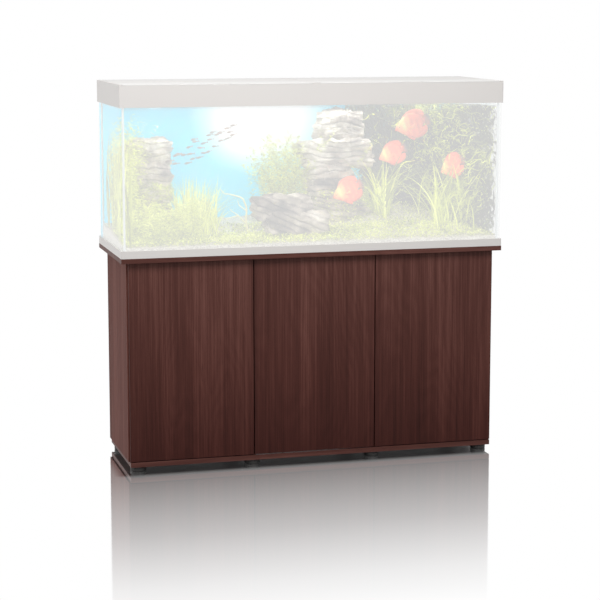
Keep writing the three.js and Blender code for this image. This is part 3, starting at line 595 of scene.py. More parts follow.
class AQUARIUM_OT_stage(bpy.types.Operator):
    """Camera at the eye's place, pale floor, even light and two softboxes"""
    bl_idname = "aquarium.stage"
    bl_label = "Stage"

    def execute(self, context):
        scene = context.scene
        settings = scene.aquarium_stage
        scene.view_settings.view_transform = "Standard"
        self.add_camera(scene, settings)
        self.add_world(scene, settings)
        self.add_floor(scene, settings)
        self.add_softbox(scene, "key_softbox", (-0.3, -1.9, 2.9), (-0.2, -1.2, 0.0), (3.0, 1.2),
                         settings.key_power)
        self.add_softbox(scene, "side_softbox", (-4.0, 0.5, 1.5), (-0.6, 0.0, 0.75), (1.6, 2.2),
                         settings.side_power)
        return {"FINISHED"}

    def add_camera(self, scene, settings):
        """The camera looks along +Y, turned by the yaw and tilted down by the pitch."""
        data = bpy.data.cameras.new("camera")
        data.lens = settings.camera_lens
        data.shift_y = settings.camera_shift
        data.clip_end = 60.0
        camera = bpy.data.objects.new("camera", data)
        camera.location = settings.camera_place
        camera.rotation_euler = Euler((math.pi / 2 - settings.camera_pitch, 0.0, -settings.camera_yaw))
        scene.collection.objects.link(camera)
        scene.camera = camera

    def add_world(self, scene, settings):
        """White to the eye and in reflections, softer as a light."""
        world = bpy.data.worlds.new("studio")
        scene.world = world
        world.use_nodes = True
        tree = world.node_tree
        back = tree.nodes["Background"]
        path = node_in(tree, "ShaderNodeLightPath")
        shown = maths(tree, "MAXIMUM", path.outputs["Is Camera Ray"], path.outputs["Is Glossy Ray"])
        strength = maths(tree, "MULTIPLY_ADD", shown, 1.0 - settings.sky, settings.sky)
        back.inputs["Color"].default_value = (1.0, 1.0, 1.0, 1.0)
        tree.links.new(strength, back.inputs["Strength"])

    def add_floor(self, scene, settings):
        """A wide white floor, glossy close to the object and plain further off, with a painted contact shadow
        right at the object's foot.
        """
        half = 14.0
        verts = np.array([(-half, -half, 0), (half, -half, 0), (half, half, 0), (-half, half, 0)])
        mesh = bpy.data.meshes.new("floor")
        mesh.from_pydata(verts.tolist(), [], [(0, 1, 2, 3)])
        material = bpy.data.materials.new("floor")
        material.use_nodes = True
        tree = material.node_tree
        tree.nodes.clear()
        out = tree.nodes.new("ShaderNodeOutputMaterial")
        white = node_in(tree, "ShaderNodeEmission", Color=(1.0, 1.0, 1.0, 1.0), Strength=1.0)
        gloss = node_in(tree, "ShaderNodeBsdfGlossy", Color=(1.0, 1.0, 1.0, 1.0), Roughness=0.05)
        matt = node_in(tree, "ShaderNodeBsdfDiffuse", Color=(*grey(settings.floor_bounce), 1.0))
        place = node_in(tree, "ShaderNodeTexCoord").outputs["Object"]
        beyond = node_in(tree, "ShaderNodeVectorMath", operation="ABSOLUTE")
        tree.links.new(place, beyond.inputs[0])
        outside = node_in(tree, "ShaderNodeVectorMath", operation="SUBTRACT")
        tree.links.new(beyond.outputs["Vector"], outside.inputs[0])
        outside.inputs[1].default_value = (*SIZE_AT_LOAD[1][:2], 0.0)
        clipped = node_in(tree, "ShaderNodeVectorMath", operation="MAXIMUM")
        tree.links.new(outside.outputs["Vector"], clipped.inputs[0])
        far = node_in(tree, "ShaderNodeVectorMath", operation="LENGTH")
        tree.links.new(clipped.outputs["Vector"], far.inputs[0])
        # Painted shadow: above one at the object's foot, the mirror share cuts out the white emission so the
        # floor darkens there like a contact shadow; further off it fades to the plain white floor.
        shares = [(0.0, 1.2), (0.006, 1.16), (0.02, 1.0), (0.42, 0.58), (0.70, 0.19), (0.88, 0.0)]
        mirror_share_and_painted_shadow = ramp(tree, [(at, grey(settings.floor_gloss * share)) for at, share in shares],
                    maths(tree, "DIVIDE", far.outputs["Value"], 2.0))
        shown = tree.nodes.new("ShaderNodeMixShader")
        tree.links.new(mirror_share_and_painted_shadow, shown.inputs["Fac"])
        tree.links.new(white.outputs["Emission"], shown.inputs[1])
        tree.links.new(gloss.outputs["BSDF"], shown.inputs[2])
        path = node_in(tree, "ShaderNodeLightPath")
        mix = tree.nodes.new("ShaderNodeMixShader")
        seen = maths(tree, "MAXIMUM", path.outputs["Is Camera Ray"], path.outputs["Is Glossy Ray"])
        tree.links.new(seen, mix.inputs["Fac"])
        tree.links.new(matt.outputs["BSDF"], mix.inputs[1])
        tree.links.new(shown.outputs["Shader"], mix.inputs[2])
        tree.links.new(mix.outputs["Shader"], out.inputs["Surface"])
        mesh.materials.append(material)
        floor = bpy.data.objects.new("floor", mesh)
        scene.collection.objects.link(floor)

    def add_softbox(self, scene, name, place, target, size, power):
        """A rectangular light facing its target."""
        data = bpy.data.lights.new(name, "AREA")
        data.shape = "RECTANGLE"
        data.size, data.size_y = size
        data.energy = power
        light = bpy.data.objects.new(name, data)
        light.location = place
        aim = Vector(target) - Vector(place)
        light.rotation_euler = aim.to_track_quat("-Z", "Y").to_euler()
        light.visible_camera = False
        light.visible_glossy = False
        scene.collection.objects.link(light)


class AQUARIUM_OT_cabinet(bpy.types.Operator):
    """Walnut laminate on the carcass and doors, each board with its own stretch of grain"""
    bl_idname = "aquarium.cabinet"
    bl_label = "Cabinet finishes"

    def execute(self, context):
        edge = context.scene.aquarium_cabinet.edge_round
        for node, shift in {"door_left": 3.1, "door_middle": 7.3, "door_right": 12.9}.items():
            # The doors get the painted shade that darkens them towards the floor.
            finish_node(node, walnut(f"walnut_{node}", shift, painted_foot_shade=True), edge)
        # Painted light: the side panels take a lighter copy of the walnut (shade 1.35), standing in for more
        # light falling on them from the left.
        for node, shift in {"side_panel_left": 18.2, "side_panel_right": 23.7}.items():
            finish_node(node, walnut(f"walnut_{node}", shift, contrast=0.8, shade=1.35, sheen=0.008), edge)
        for node, shift in (("top_panel", 31.0), ("base_plate", 37.0)):
            finish_node(node, walnut(f"walnut_{node}", shift, along_x=True, contrast=0.8), edge)
        for i, node in enumerate(nodes_like("divider", "back_panel", "shelf")):
            level = node.startswith("shelf")
            inner = walnut(f"walnut_{node}", 41.0 + 5.3 * i, along_x=level, contrast=0.7, shade=1.25)
            finish_node(node, inner, edge)
        black = fine_finish("foot_plastic", (0.018, 0.016, 0.015), 0.55, scale=500.0, dust=0.25)
        for node in nodes_like("foot"):
            finish_node(node, black, 0.0006)
        return {"FINISHED"}


class AQUARIUM_OT_fittings(bpy.types.Operator):
    """Hinge finishes, links, screws and shelf pins"""
    bl_idname = "aquarium.fittings"
    bl_label = "Cabinet fittings"

    def execute(self, context):
        nickel = fine_finish("hinge_nickel", (0.60, 0.60, 0.61), 0.28, metal=1.0, scale=1400.0, drift=0.15)
        grey_plastic = fine_finish("latch_plastic", (0.20, 0.205, 0.21), 0.5)
        for node in nodes_like("hinge"):
            finish_node(node, nickel, 0.0004)
        for node in nodes_like("latch"):
            finish_node(node, grey_plastic, 0.0004)
        for door in ("left", "middle", "right"):
            self.add_links(door, nickel)
        self.add_screws(nickel)
        self.add_pins(nickel)
        return {"FINISHED"}

    def add_links(self, door, material):
        """Two curved straps per hinge, bending from the arm's nose into the cup: a quarter sine in plan."""
        for height in ("lower", "upper"):
            arm_low, arm_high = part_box(f"hinge_arm_{door}_{height}")
            cup_low, cup_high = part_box(f"hinge_cup_{door}_{height}")
            z = (arm_low[2] + arm_high[2]) / 2
            arm_x = (arm_low[0] + arm_high[0]) / 2
            cup_x = (cup_low[0] + cup_high[0]) / 2
            start = np.array([arm_x, arm_low[1] + 0.008, z])
            end = np.array([cup_x, cup_low[1] + 0.0045, z])
            t = np.linspace(0.0, 1.0, 9)
            path = start + (end - start) * np.stack([np.sin(t * np.pi / 2), t, t], axis=-1)
            straps = []
            for off in (-0.0032, 0.0032):
                straps.append(sweep((path + [0, 0, off])[None], 0.0022, 0.0007, np.array([0, 0, 1.0])))
            piece = build(f"hinge_link_{door}_{height}", joined(straps), material, body=None)
            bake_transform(piece)

    def add_screws(self, material):
        """Pan-head screws on the hinge arms' plates: a shallow dome on a short rim."""
        parts = []
        for node in nodes_like("hinge_arm"):
            low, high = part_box(node)
            door = node.split("_")[2]
            plate_x, out = (high[0], -1.0) if door != "left" else (low[0], 1.0)
            for z in (low[2] + 0.008, high[2] - 0.008):
                origin = (plate_x + out * 0.0022, low[1] + 0.0435, z)
                profile = [(0.0038, 0.0), (0.0038, 0.0006), (0.0028, 0.0014), (0.0012, 0.0018),
                           (0.0002, 0.0019)]
                parts.append(turned(profile, origin, (out, 0, 0), 16))
        build("hinge_screws", joined(parts), material, sharp=40)

    def add_pins(self, material):
        """Shelf pins: a short steel peg under each shelf corner, in the side and divider."""
        parts = []
        for side in ("left", "right"):
            low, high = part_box(f"shelf_{side}")
            for x, out in ((low[0], 1.0), (high[0], -1.0)):
                for y in (low[1] + 0.04, high[1] - 0.04):
                    profile = [(0.0024, 0.0), (0.0026, 0.0004), (0.0026, 0.009), (0.0018, 0.0098),
                               (0.0002, 0.01)]
                    parts.append(turned(profile, (x, y, low[2] - 0.0028), (out, 0, 0), 12))
        build("shelf_pins", joined(parts), material, sharp=40)


def pane_material(name, outer, reach):
    """Clear glass whose outer face, the one beyond reach along outer, has an even white haze that is emitted
    light, so it glows though it is no lamp: painted light. Reflections follow Fresnel up to a limit, and lamps
    shine straight through."""
    veil = bpy.context.scene.aquarium_tank.veil
    material = bpy.data.materials.new(name)
    material.cycles.emission_sampling = "NONE"
    material.use_nodes = True
    tree = material.node_tree
    tree.nodes.clear()
    out = tree.nodes.new("ShaderNodeOutputMaterial")
    clear = node_in(tree, "ShaderNodeBsdfTransparent", Color=(0.985, 0.995, 0.992, 1.0))
    # Painted light: the white haze is an emission shader, glowing at its own strength.
    glowing_haze = node_in(tree, "ShaderNodeEmission", Color=(1.0, 1.0, 1.0, 1.0), Strength=1.0)
    gloss = node_in(tree, "ShaderNodeBsdfGlossy", Color=(1.0, 1.0, 1.0, 1.0), Roughness=0.03)
    place = node_in(tree, "ShaderNodeTexCoord").outputs["Object"]
    dot = node_in(tree, "ShaderNodeVectorMath", operation="DOT_PRODUCT")
    tree.links.new(place, dot.inputs[0])
    dot.inputs[1].default_value = outer
    mask = maths(tree, "GREATER_THAN", dot.outputs["Value"], reach)
    cloud = maths(tree, "MULTIPLY_ADD", noise(tree, place, 3.0, 2.0), 0.04, veil - 0.02)
    haze = tree.nodes.new("ShaderNodeMixShader")
    tree.links.new(maths(tree, "MULTIPLY", mask, cloud), haze.inputs["Fac"])
    tree.links.new(clear.outputs["BSDF"], haze.inputs[1])
    tree.links.new(glowing_haze.outputs["Emission"], haze.inputs[2])
    mirror = tree.nodes.new("ShaderNodeMixShader")
    fresnel = node_in(tree, "ShaderNodeFresnel", IOR=1.3)
    tree.links.new(maths(tree, "MINIMUM", fresnel.outputs["Fac"], 0.10), mirror.inputs["Fac"])
    tree.links.new(haze.outputs["Shader"], mirror.inputs[1])
    tree.links.new(gloss.outputs["BSDF"], mirror.inputs[2])
    lamp = tree.nodes.new("ShaderNodeMixShader")
    path = node_in(tree, "ShaderNodeLightPath")
    through = node_in(tree, "ShaderNodeBsdfTransparent", Color=(1.0, 1.0, 1.0, 1.0))
    tree.links.new(path.outputs["Is Shadow Ray"], lamp.inputs["Fac"])
    tree.links.new(mirror.outputs["Shader"], lamp.inputs[1])
    tree.links.new(through.outputs["BSDF"], lamp.inputs[2])
    tree.links.new(lamp.outputs["Shader"], out.inputs["Surface"])
    return material


class AQUARIUM_OT_tank(bpy.types.Operator):
    """Glass, silicone seams, water surface and the film behind the tank"""
    bl_idname = "aquarium.tank"
    bl_label = "Tank"

    def execute(self, context):
        outer = {"glass_front": (0, -1, 0), "glass_left": (-1, 0, 0), "glass_right": (1, 0, 0)}
        for node, direction in outer.items():
            reach = max(corner(node, end) @ direction for end in (0, 1)) - 0.001
            finish_node(node, pane_material(f"pane_{node}", direction, reach))
        for node in ("glass_back", "glass_bottom", "glass_brace"):
            finish_node(node, pane_material(f"pane_{node}", (0, 0, 1), 10.0))
        self.add_seams()
        self.add_surface()
        self.add_film(context.scene.aquarium_tank)
        return {"FINISHED"}

    def add_seams(self):
        """Quarter-round silicone beads up the four inner corners and round the floor."""
        silicone = fine_finish("silicone", (0.62, 0.66, 0.66), 0.35, scale=300.0)
        radius = 0.0042
        top = corner("glass_front", 1)[2] - 0.002
        x, y = HALF_W - 0.0012, HALF_D - 0.0012
        parts = []
        steps = np.linspace(0.0, 1.0, 5)[:, None]
        corners = [np.array([sx * x, sy * y]) for sx, sy in ((-1, -1), (1, -1), (1, 1), (-1, 1))]
        for here in corners:
            low = np.array([*here, BED + 0.001])
            high = np.array([*here, top])
            parts.append(sweep((low + (high - low) * steps)[None], radius, radius, np.array([1.0, 0, 0]), 10))
        for here, there in zip(corners, corners[1:] + corners[:1]):
            low = np.array([*here, BED + 0.0014])
            high = np.array([*there, BED + 0.0014])
            parts.append(sweep((low + (high - low) * steps)[None], radius, radius, np.array([0, 0, 1.0]), 10))
        build("silicone_seams", joined(parts), silicone, sharp=50)

    def add_surface(self):
        """The water's surface: a thin sheet with crossing sine ripples, just under the brace."""
        nx, ny = 90, 30
        x, y = np.meshgrid(np.linspace(-HALF_W + 0.005, HALF_W - 0.005, nx),
                           np.linspace(-HALF_D + 0.005, HALF_D - 0.005, ny), indexing="ij")
        level = INSIDE_HIGH[2] - 0.012
        ripple = 0.0009 * np.sin(x / 0.021 + 2.0 * np.sin(y / 0.06)) + 0.0007 * np.sin(y / 0.017 - x / 0.05)
        top = np.stack([x, y, level + ripple], axis=-1)
        under = np.stack([x, y, np.full_like(x, level - 0.003)], axis=-1)
        index = np.arange(nx * ny).reshape(nx, ny)
        quads = np.stack([index[:-1, :-1], index[1:, :-1], index[1:, 1:], index[:-1, 1:]], -1).reshape(-1, 4)
        rim = np.concatenate([index[:, 0], index[-1, 1:], index[-2::-1, -1], index[0, -2:0:-1]])
        walls = np.stack([rim, rim + nx * ny, np.roll(rim, -1) + nx * ny, np.roll(rim, -1)], axis=-1)
        verts = np.concatenate([top.reshape(-1, 3), under.reshape(-1, 3)])
        water = pane_material("water", (0, 0, 1), 10.0)
        build("water_surface", (verts, [quads, quads[:, ::-1] + nx * ny, walls]), water, sharp=40)

    def add_film(self, settings):
        """The film on the back pane: blue water with a white glow, by distance from a point near the top."""
        low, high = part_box("glass_back")
        face = high[1] + 0.0004
        part = slab((low[0] + 0.004, face, low[2] + 0.004), (high[0] - 0.004, face + 0.0006, high[2] - 0.026))
        material, tree, shader = principled("backdrop_film", Roughness=0.6, Specular_IOR_Level=0.0)
        place = node_in(tree, "ShaderNodeTexCoord").outputs["Object"]
        glow_at = inside(-0.12, 1.0, 0.90)
        moved = node_in(tree, "ShaderNodeMapping", Location=tuple(-glow_at * [1.0, 0.0, 1.15]),
                        Scale=(1.0, 0.0, 1.15))
        tree.links.new(place, moved.inputs["Vector"])
        far = node_in(tree, "ShaderNodeVectorMath", operation="LENGTH")
        tree.links.new(moved.outputs["Vector"], far.inputs[0])
        cloud = maths(tree, "MULTIPLY_ADD", noise(tree, place, 5.0, 3.0), 0.07, far.outputs["Value"])
        blue = tuple(settings.backdrop_blue)
        colour = ramp(tree, [(0.20, (1.0, 1.0, 1.0)), (0.28, (0.42, 0.85, 0.96)), (0.345, blue),
                             (0.95, tuple(c * 0.9 for c in blue))], cloud)
        facing = node_in(tree, "ShaderNodeNewGeometry").outputs["True Normal"]
        parts = node_in(tree, "ShaderNodeSeparateXYZ")
        tree.links.new(facing, parts.inputs[0])
        rear = maths(tree, "GREATER_THAN", parts.outputs["Y"], 0.5)
        plain = ramp(tree, [(0.2, (0.60, 0.69, 0.72)), (0.8, (0.78, 0.85, 0.87))],
                     noise(tree, place, 2.5, 4.0))
        shown = blend_colours(tree, rear, colour, plain)
        tree.links.new(shown, shader.inputs["Base Color"])
        # Painted light: the front face emits its colours, and the white patch round glow_at is a painted pool
        # of backlight, though the film is no lamp.
        lit = blend_colours(tree, rear, colour, (0.0, 0.0, 0.0))
        tree.links.new(lit, shader.inputs["Emission Color"])
        shader.inputs["Emission Strength"].default_value = 0.82
        build("backdrop_film", part, material)


class AQUARIUM_OT_hood(bpy.types.Operator):
    """Hood, flaps, foot frame, lamp and tubes"""
    bl_idname = "aquarium.hood"
    bl_label = "Hood"

    def execute(self, context):
        settings = context.scene.aquarium_tank
        plastic = fine_finish("hood_plastic", tuple(settings.hood_colour), 0.42, scale=1200.0, drift=0.03,
                              dust=0.1, bump=0.08)
        lid = fine_finish("flap_plastic", tuple(settings.lid_colour), 0.45, scale=1200.0, drift=0.03, dust=0.15,
                          bump=0.08)
        for node in ("hood_frame", "tank_frame"):
            finish_node(node, plastic, 0.0008)
        for node in nodes_like("flap"):
            finish_node(node, lid, 0.0005)
        finish_node("lamp_bar", fine_finish("lamp_housing", (0.80, 0.81, 0.82), 0.35, metal=0.2), 0.0006)
        finish_node("filter_box", fine_finish("filter_plastic", (0.10, 0.11, 0.10), 0.55), 0.0005)
        finish_node("heater", fine_finish("heater_glass", (0.35, 0.38, 0.38), 0.15, drift=0.3))
        self.light_tubes(settings)
        return {"FINISHED"}

    def light_tubes(self, settings):
        """Glowing tubes with dull metal caps, by distance from the middle."""
        half = corner("lamp_tube_front", 1)[0]
        material, tree, shader = principled("lamp_tube", Roughness=0.25)
        place = node_in(tree, "ShaderNodeTexCoord").outputs["Object"]
        parts = node_in(tree, "ShaderNodeSeparateXYZ")
        tree.links.new(place, parts.inputs[0])
        cap = maths(tree, "GREATER_THAN", maths(tree, "ABSOLUTE", parts.outputs["X"]), half - 0.016)
        colour = blend_colours(tree, cap, (0.95, 0.98, 1.0), (0.5, 0.5, 0.52))
        light = blend_colours(tree, cap, (0.95, 0.98, 1.0), (0.0, 0.0, 0.0))
        tree.links.new(colour, shader.inputs["Base Color"])
        tree.links.new(light, shader.inputs["Emission Color"])
        shader.inputs["Emission Strength"].default_value = settings.lamp_strength
        for node in nodes_like("lamp_tube"):
            finish_node(node, material)


# ---- Stones ----

def stone_part(centre, half, seed, lean, layer=0.022, boxy=5.0, steps=(190, 105), depth=0.075):
    """A layered stone. Directions on a sphere are pushed out to a rounded box, |x|^n+|y|^n+|z|^n = 1. Ledges:
    the height along a leaning axis is cut into layers, each drawn in by its own amount. Fractal noise roughens
    it all."""
    nu, nv = steps
    u = np.arange(nu) / nu * 2 * np.pi
    v = np.linspace(0.012, math.pi - 0.012, nv)[::-1]
    v, u = np.meshgrid(v, u, indexing="ij")
    d = np.stack([np.sin(v) * np.cos(u), np.sin(v) * np.sin(u), np.cos(v)], axis=-1)
    reach = np.sum(np.abs(d) ** boxy, axis=-1, keepdims=True) ** (-1 / boxy)
    p = d * reach * np.array(half)
    p = p * (1 + 0.14 * fractal(d * 1.7 + seed, 3, seed)[..., None])
    axis = unit(np.array(lean, float))
    height = p @ axis / layer + 0.9 * fractal(p / 0.16 + seed, 3, seed + 5)
    step = np.floor(height)
    part_way = height - step
    edge = np.clip(part_way / 0.22, 0, 1) * np.clip((1 - part_way) / 0.12, 0, 1)
    draw = hashed(np.stack([step, step * 0, step * 0], -1).astype(np.int64), seed + 9)
    block = value_noise(np.stack([p @ [9.0, 3.0, 0.0], p @ [-3.0, 9.0, 0.0], step * 0.7], -1), seed + 3)
    pulled = depth * (0.35 + 0.9 * draw + 0.8 * block) + 0.045 * (1 - edge)
    flat = d - (d @ axis)[..., None] * axis
    p = p - flat * pulled[..., None] * np.mean(half) * 1.6
    p = p + d * (0.0085 * fractal(p / 0.028 + seed, 4, seed + 20))[..., None]
    cloudy = fractal(p / 0.05 + 3.1 * seed, 4, seed + 30)
    # Painted shade: the tint drops by 0.22 where edge falls to 0 at the ledges, darkening the grooves between
    # layers.
    tint = 0.58 + 0.34 * cloudy + 0.25 * (draw - 0.5) - 0.22 * (1 - edge)
    index = np.arange(nu * nv).reshape(1, nv, nu)
    verts = (p + np.array(centre)).reshape(-1, 3)
    return verts, ring_faces(index), tint.ravel(), d.reshape(-1, 3)


STONES = {
    "rock_left": [
        ((-0.800, 0.34, 0.640), (0.100, 0.078, 0.053), 3, (0.04, 0.1, 1.0)),
        ((-0.812, 0.30, 0.480), (0.098, 0.085, 0.056), 7, (-0.05, 0.1, 1.0)),
        ((-0.812, 0.22, 0.330), (0.095, 0.090, 0.060), 11, (0.1, 0.0, 1.0)),
        ((-0.815, 0.16, 0.155), (0.098, 0.096, 0.075), 15, (0.2, 0.1, 1.0)),
    ],
    "rock_right": [
        ((0.262, 0.46, 0.800), (0.100, 0.072, 0.066), 21, (0.10, 0.1, 1.0)),
        ((0.236, 0.38, 0.610), (0.150, 0.092, 0.056), 25, (0.05, -0.1, 1.0)),
        ((0.195, 0.30, 0.405), (0.100, 0.088, 0.070), 29, (-0.06, 0.1, 1.0)),
        ((0.220, 0.28, 0.185), (0.136, 0.100, 0.080), 33, (0.1, 0.0, 1.0)),
    ],
    "rock_front": [
        ((-0.135, -0.42, 0.262), (0.118, 0.052, 0.052), 41, (0.40, -0.25, 1.0)),
        ((-0.060, -0.44, 0.145), (0.132, 0.060, 0.052), 45, (0.46, -0.3, 1.0)),
    ],
}


def placed_stones(node):
    """The stones that stand for one CAD rock."""
    return [stone_part(inside(*share), half, seed, lean) for share, half, seed, lean in STONES[node]]


class AQUARIUM_OT_stones(bpy.types.Operator):
    """Layered stones in place of the plain rocks, and a finer gravel bed"""
    bl_idname = "aquarium.stones"
    bl_label = "Stones and gravel"

    def execute(self, context):
        stops = [(0.0, (0.03, 0.025, 0.020)), (0.25, (0.16, 0.125, 0.10)), (0.5, (0.43, 0.36, 0.29)),
                 (0.75, (0.70, 0.62, 0.52)), (1.0, (0.93, 0.87, 0.78))]
        rock = tinted("rock", stops, rough=0.9, detail_scale=70.0, bump=0.9, distance=0.004, glow=0.06)
        for node in STONES:
            made = placed_stones(node)
            part = joined([(verts, faces) for verts, faces, _, _ in made])
            tint = np.concatenate([one[2] for one in made]) - (0.16 if node == "rock_front" else 0.0)
            piece = build(f"{node}_layers", part, rock, tint=tint, sharp=55)
            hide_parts(node)
        self.add_gravel()
        return {"FINISHED"}

    def add_gravel(self):
        """The gravel's height over a fine grid, down to the bottom pane. Its pebbles are value noise."""
        nx, ny = 150, 50
        low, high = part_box("gravel_bed")
        x, y = np.meshgrid(np.linspace(low[0], high[0], nx), np.linspace(low[1], high[1], ny), indexing="ij")
        pebbles = 0.0016 * value_noise(np.stack([x, y, x * 0], -1) / 0.006, 5)
        top = np.stack([x, y, ground(x, y) + pebbles], axis=-1)
        under = np.stack([x, y, np.full_like(x, low[2])], axis=-1)
        index = np.arange(nx * ny).reshape(nx, ny)
        quads = np.stack([index[:-1, :-1], index[1:, :-1], index[1:, 1:], index[:-1, 1:]], -1).reshape(-1, 4)
        rim = np.concatenate([index[:, 0], index[-1, 1:], index[-2::-1, -1], index[0, -2:0:-1]])
        walls = np.stack([rim, rim + nx * ny, np.roll(rim, -1) + nx * ny, np.roll(rim, -1)], axis=-1)
        verts = np.concatenate([top.reshape(-1, 3), under.reshape(-1, 3)])
        material, tree, shader = principled("gravel", Roughness=0.85)
        place = node_in(tree, "ShaderNodeTexCoord").outputs["Object"]
        grains = node_in(tree, "ShaderNodeTexVoronoi", Scale=260.0)
        tree.links.new(place, grains.inputs["Vector"])
        parts = node_in(tree, "ShaderNodeSeparateColor")
        tree.links.new(grains.outputs["Color"], parts.inputs[0])
        colour = ramp(tree, [(0.0, (0.30, 0.26, 0.20)), (0.5, (0.55, 0.50, 0.40)), (1.0, (0.80, 0.77, 0.68))],
                      parts.outputs["Red"])
        tree.links.new(colour, shader.inputs["Base Color"])
        bump_into(tree, shader, grains.outputs["Distance"], 0.7, 0.002)
        faces = [quads, quads[:, ::-1] + nx * ny, walls]
        piece = build("gravel_fine", (verts, faces), material, sharp=60)
        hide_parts("gravel_bed")


# ---- Plants ----

def leaves_part(base, heading, length, width, droop):
    """Small closed leaves: a path of three points from base along heading, dipping by droop t^2, with a
    three-sided section that swells in the middle."""
    t = np.array([0.0, 0.5, 1.0])
    path = base[:, None] + heading[:, None] * (t[:, None] * length[:, None, None])
    path[..., 2] -= droop[:, None] * length[:, None] * t ** 2
    half_w = width[:, None] * np.array([0.30, 1.0, 0.08])
    side = np.cross(heading, [0.0, 0.0, 1.0]) + 1e-4
    return sweep(path, half_w, half_w * 0.2 + 0.0001, unit(side)[:, None], 3)


def curls_part(base, rng, length, width, steps=16):
    """Curling strands: each path starts at base and turns steadily, the heading's two angles being
    a + b t + c sin(k t)."""
    count = len(base)
    t = np.linspace(0, 1, steps)
    flat = rng.uniform(0, 2 * np.pi, count)[:, None] + rng.normal(0, 1.6, count)[:, None] * t
    lift = rng.normal(0.2, 0.6, count)[:, None] + rng.uniform(0.3, 1.1, count)[:, None] * np.sin(
        rng.uniform(4, 10, count)[:, None] * t)
    step = np.stack([np.cos(flat) * np.cos(lift), 0.5 * np.sin(flat) * np.cos(lift), np.sin(lift)], axis=-1)
    path = base[:, None] + np.cumsum(step, axis=1) * (length / steps)[:, None, None]
    half_w = width[:, None] * (0.35 + 0.65 * np.sin(np.pi * t))
    return sweep(path, half_w, half_w * 0.3, np.array([0.0, 0.4, 1.0]), 3)


def blades_part(base, turn, length, width, lean, curl, steps=9):
    """Long leaves: each rises from base and leans the way of turn. With t from 0 to 1 the reach is
    sin(lean t) t^curl and the rise cos(lean t), and the width is a long leaf's, widest at a third."""
    t = np.linspace(0.0, 1.0, steps)
    angle = lean[:, None] * t
    reach = np.sin(angle) * t ** curl[:, None]
    rise = t * np.cos(angle * 0.85)
    outwards = np.stack([np.cos(turn), np.sin(turn), turn * 0], axis=-1)
    path = base[:, None] + length[:, None, None] * (
        outwards[:, None] * reach[..., None] + np.array([0, 0, 1.0]) * rise[..., None])
    half_w = width[:, None] * (np.sin(np.pi * np.clip(t, 0, 1) ** 0.62) * 0.9 + 0.12 * (1 - t) + 0.02)
    side = np.stack([-np.sin(turn), np.cos(turn), turn * 0], axis=-1)
    return sweep(path, half_w, half_w * 0.14 + 0.0001, side[:, None])


def per_vertex(values, part):
    """One number per leaf, repeated for each of its vertices."""
    return np.repeat(values, len(part[0]) // len(values))


def scatter(rng, count, u, v):
    """Random places on the ground within shares of the tank's width and depth."""
    x = rng.uniform(*u, count) * HALF_W
    y = rng.uniform(*v, count) * HALF_D
    return np.stack([x, y, ground(x, y)], axis=-1)


def keep_inside(part, margin=0.004):
    """Vertices held between the panes, under the water's surface."""
    verts, faces = part
    low = INSIDE_LOW + margin
    high = INSIDE_HIGH - [margin, margin, 0.018]
    return np.clip(verts, low, high), faces


LEAF_GREEN = [(0.0, (0.012, 0.020, 0.006)), (0.3, (0.10, 0.13, 0.02)), (0.55, (0.42, 0.47, 0.05)),
              (0.8, (0.82, 0.86, 0.12)), (1.0, (0.97, 0.98, 0.40))]
LEAF_DARK = [(0.0, (0.006, 0.008, 0.004)), (0.45, (0.035, 0.048, 0.018)), (0.75, (0.15, 0.19, 0.04)),
             (1.0, (0.62, 0.68, 0.14))]


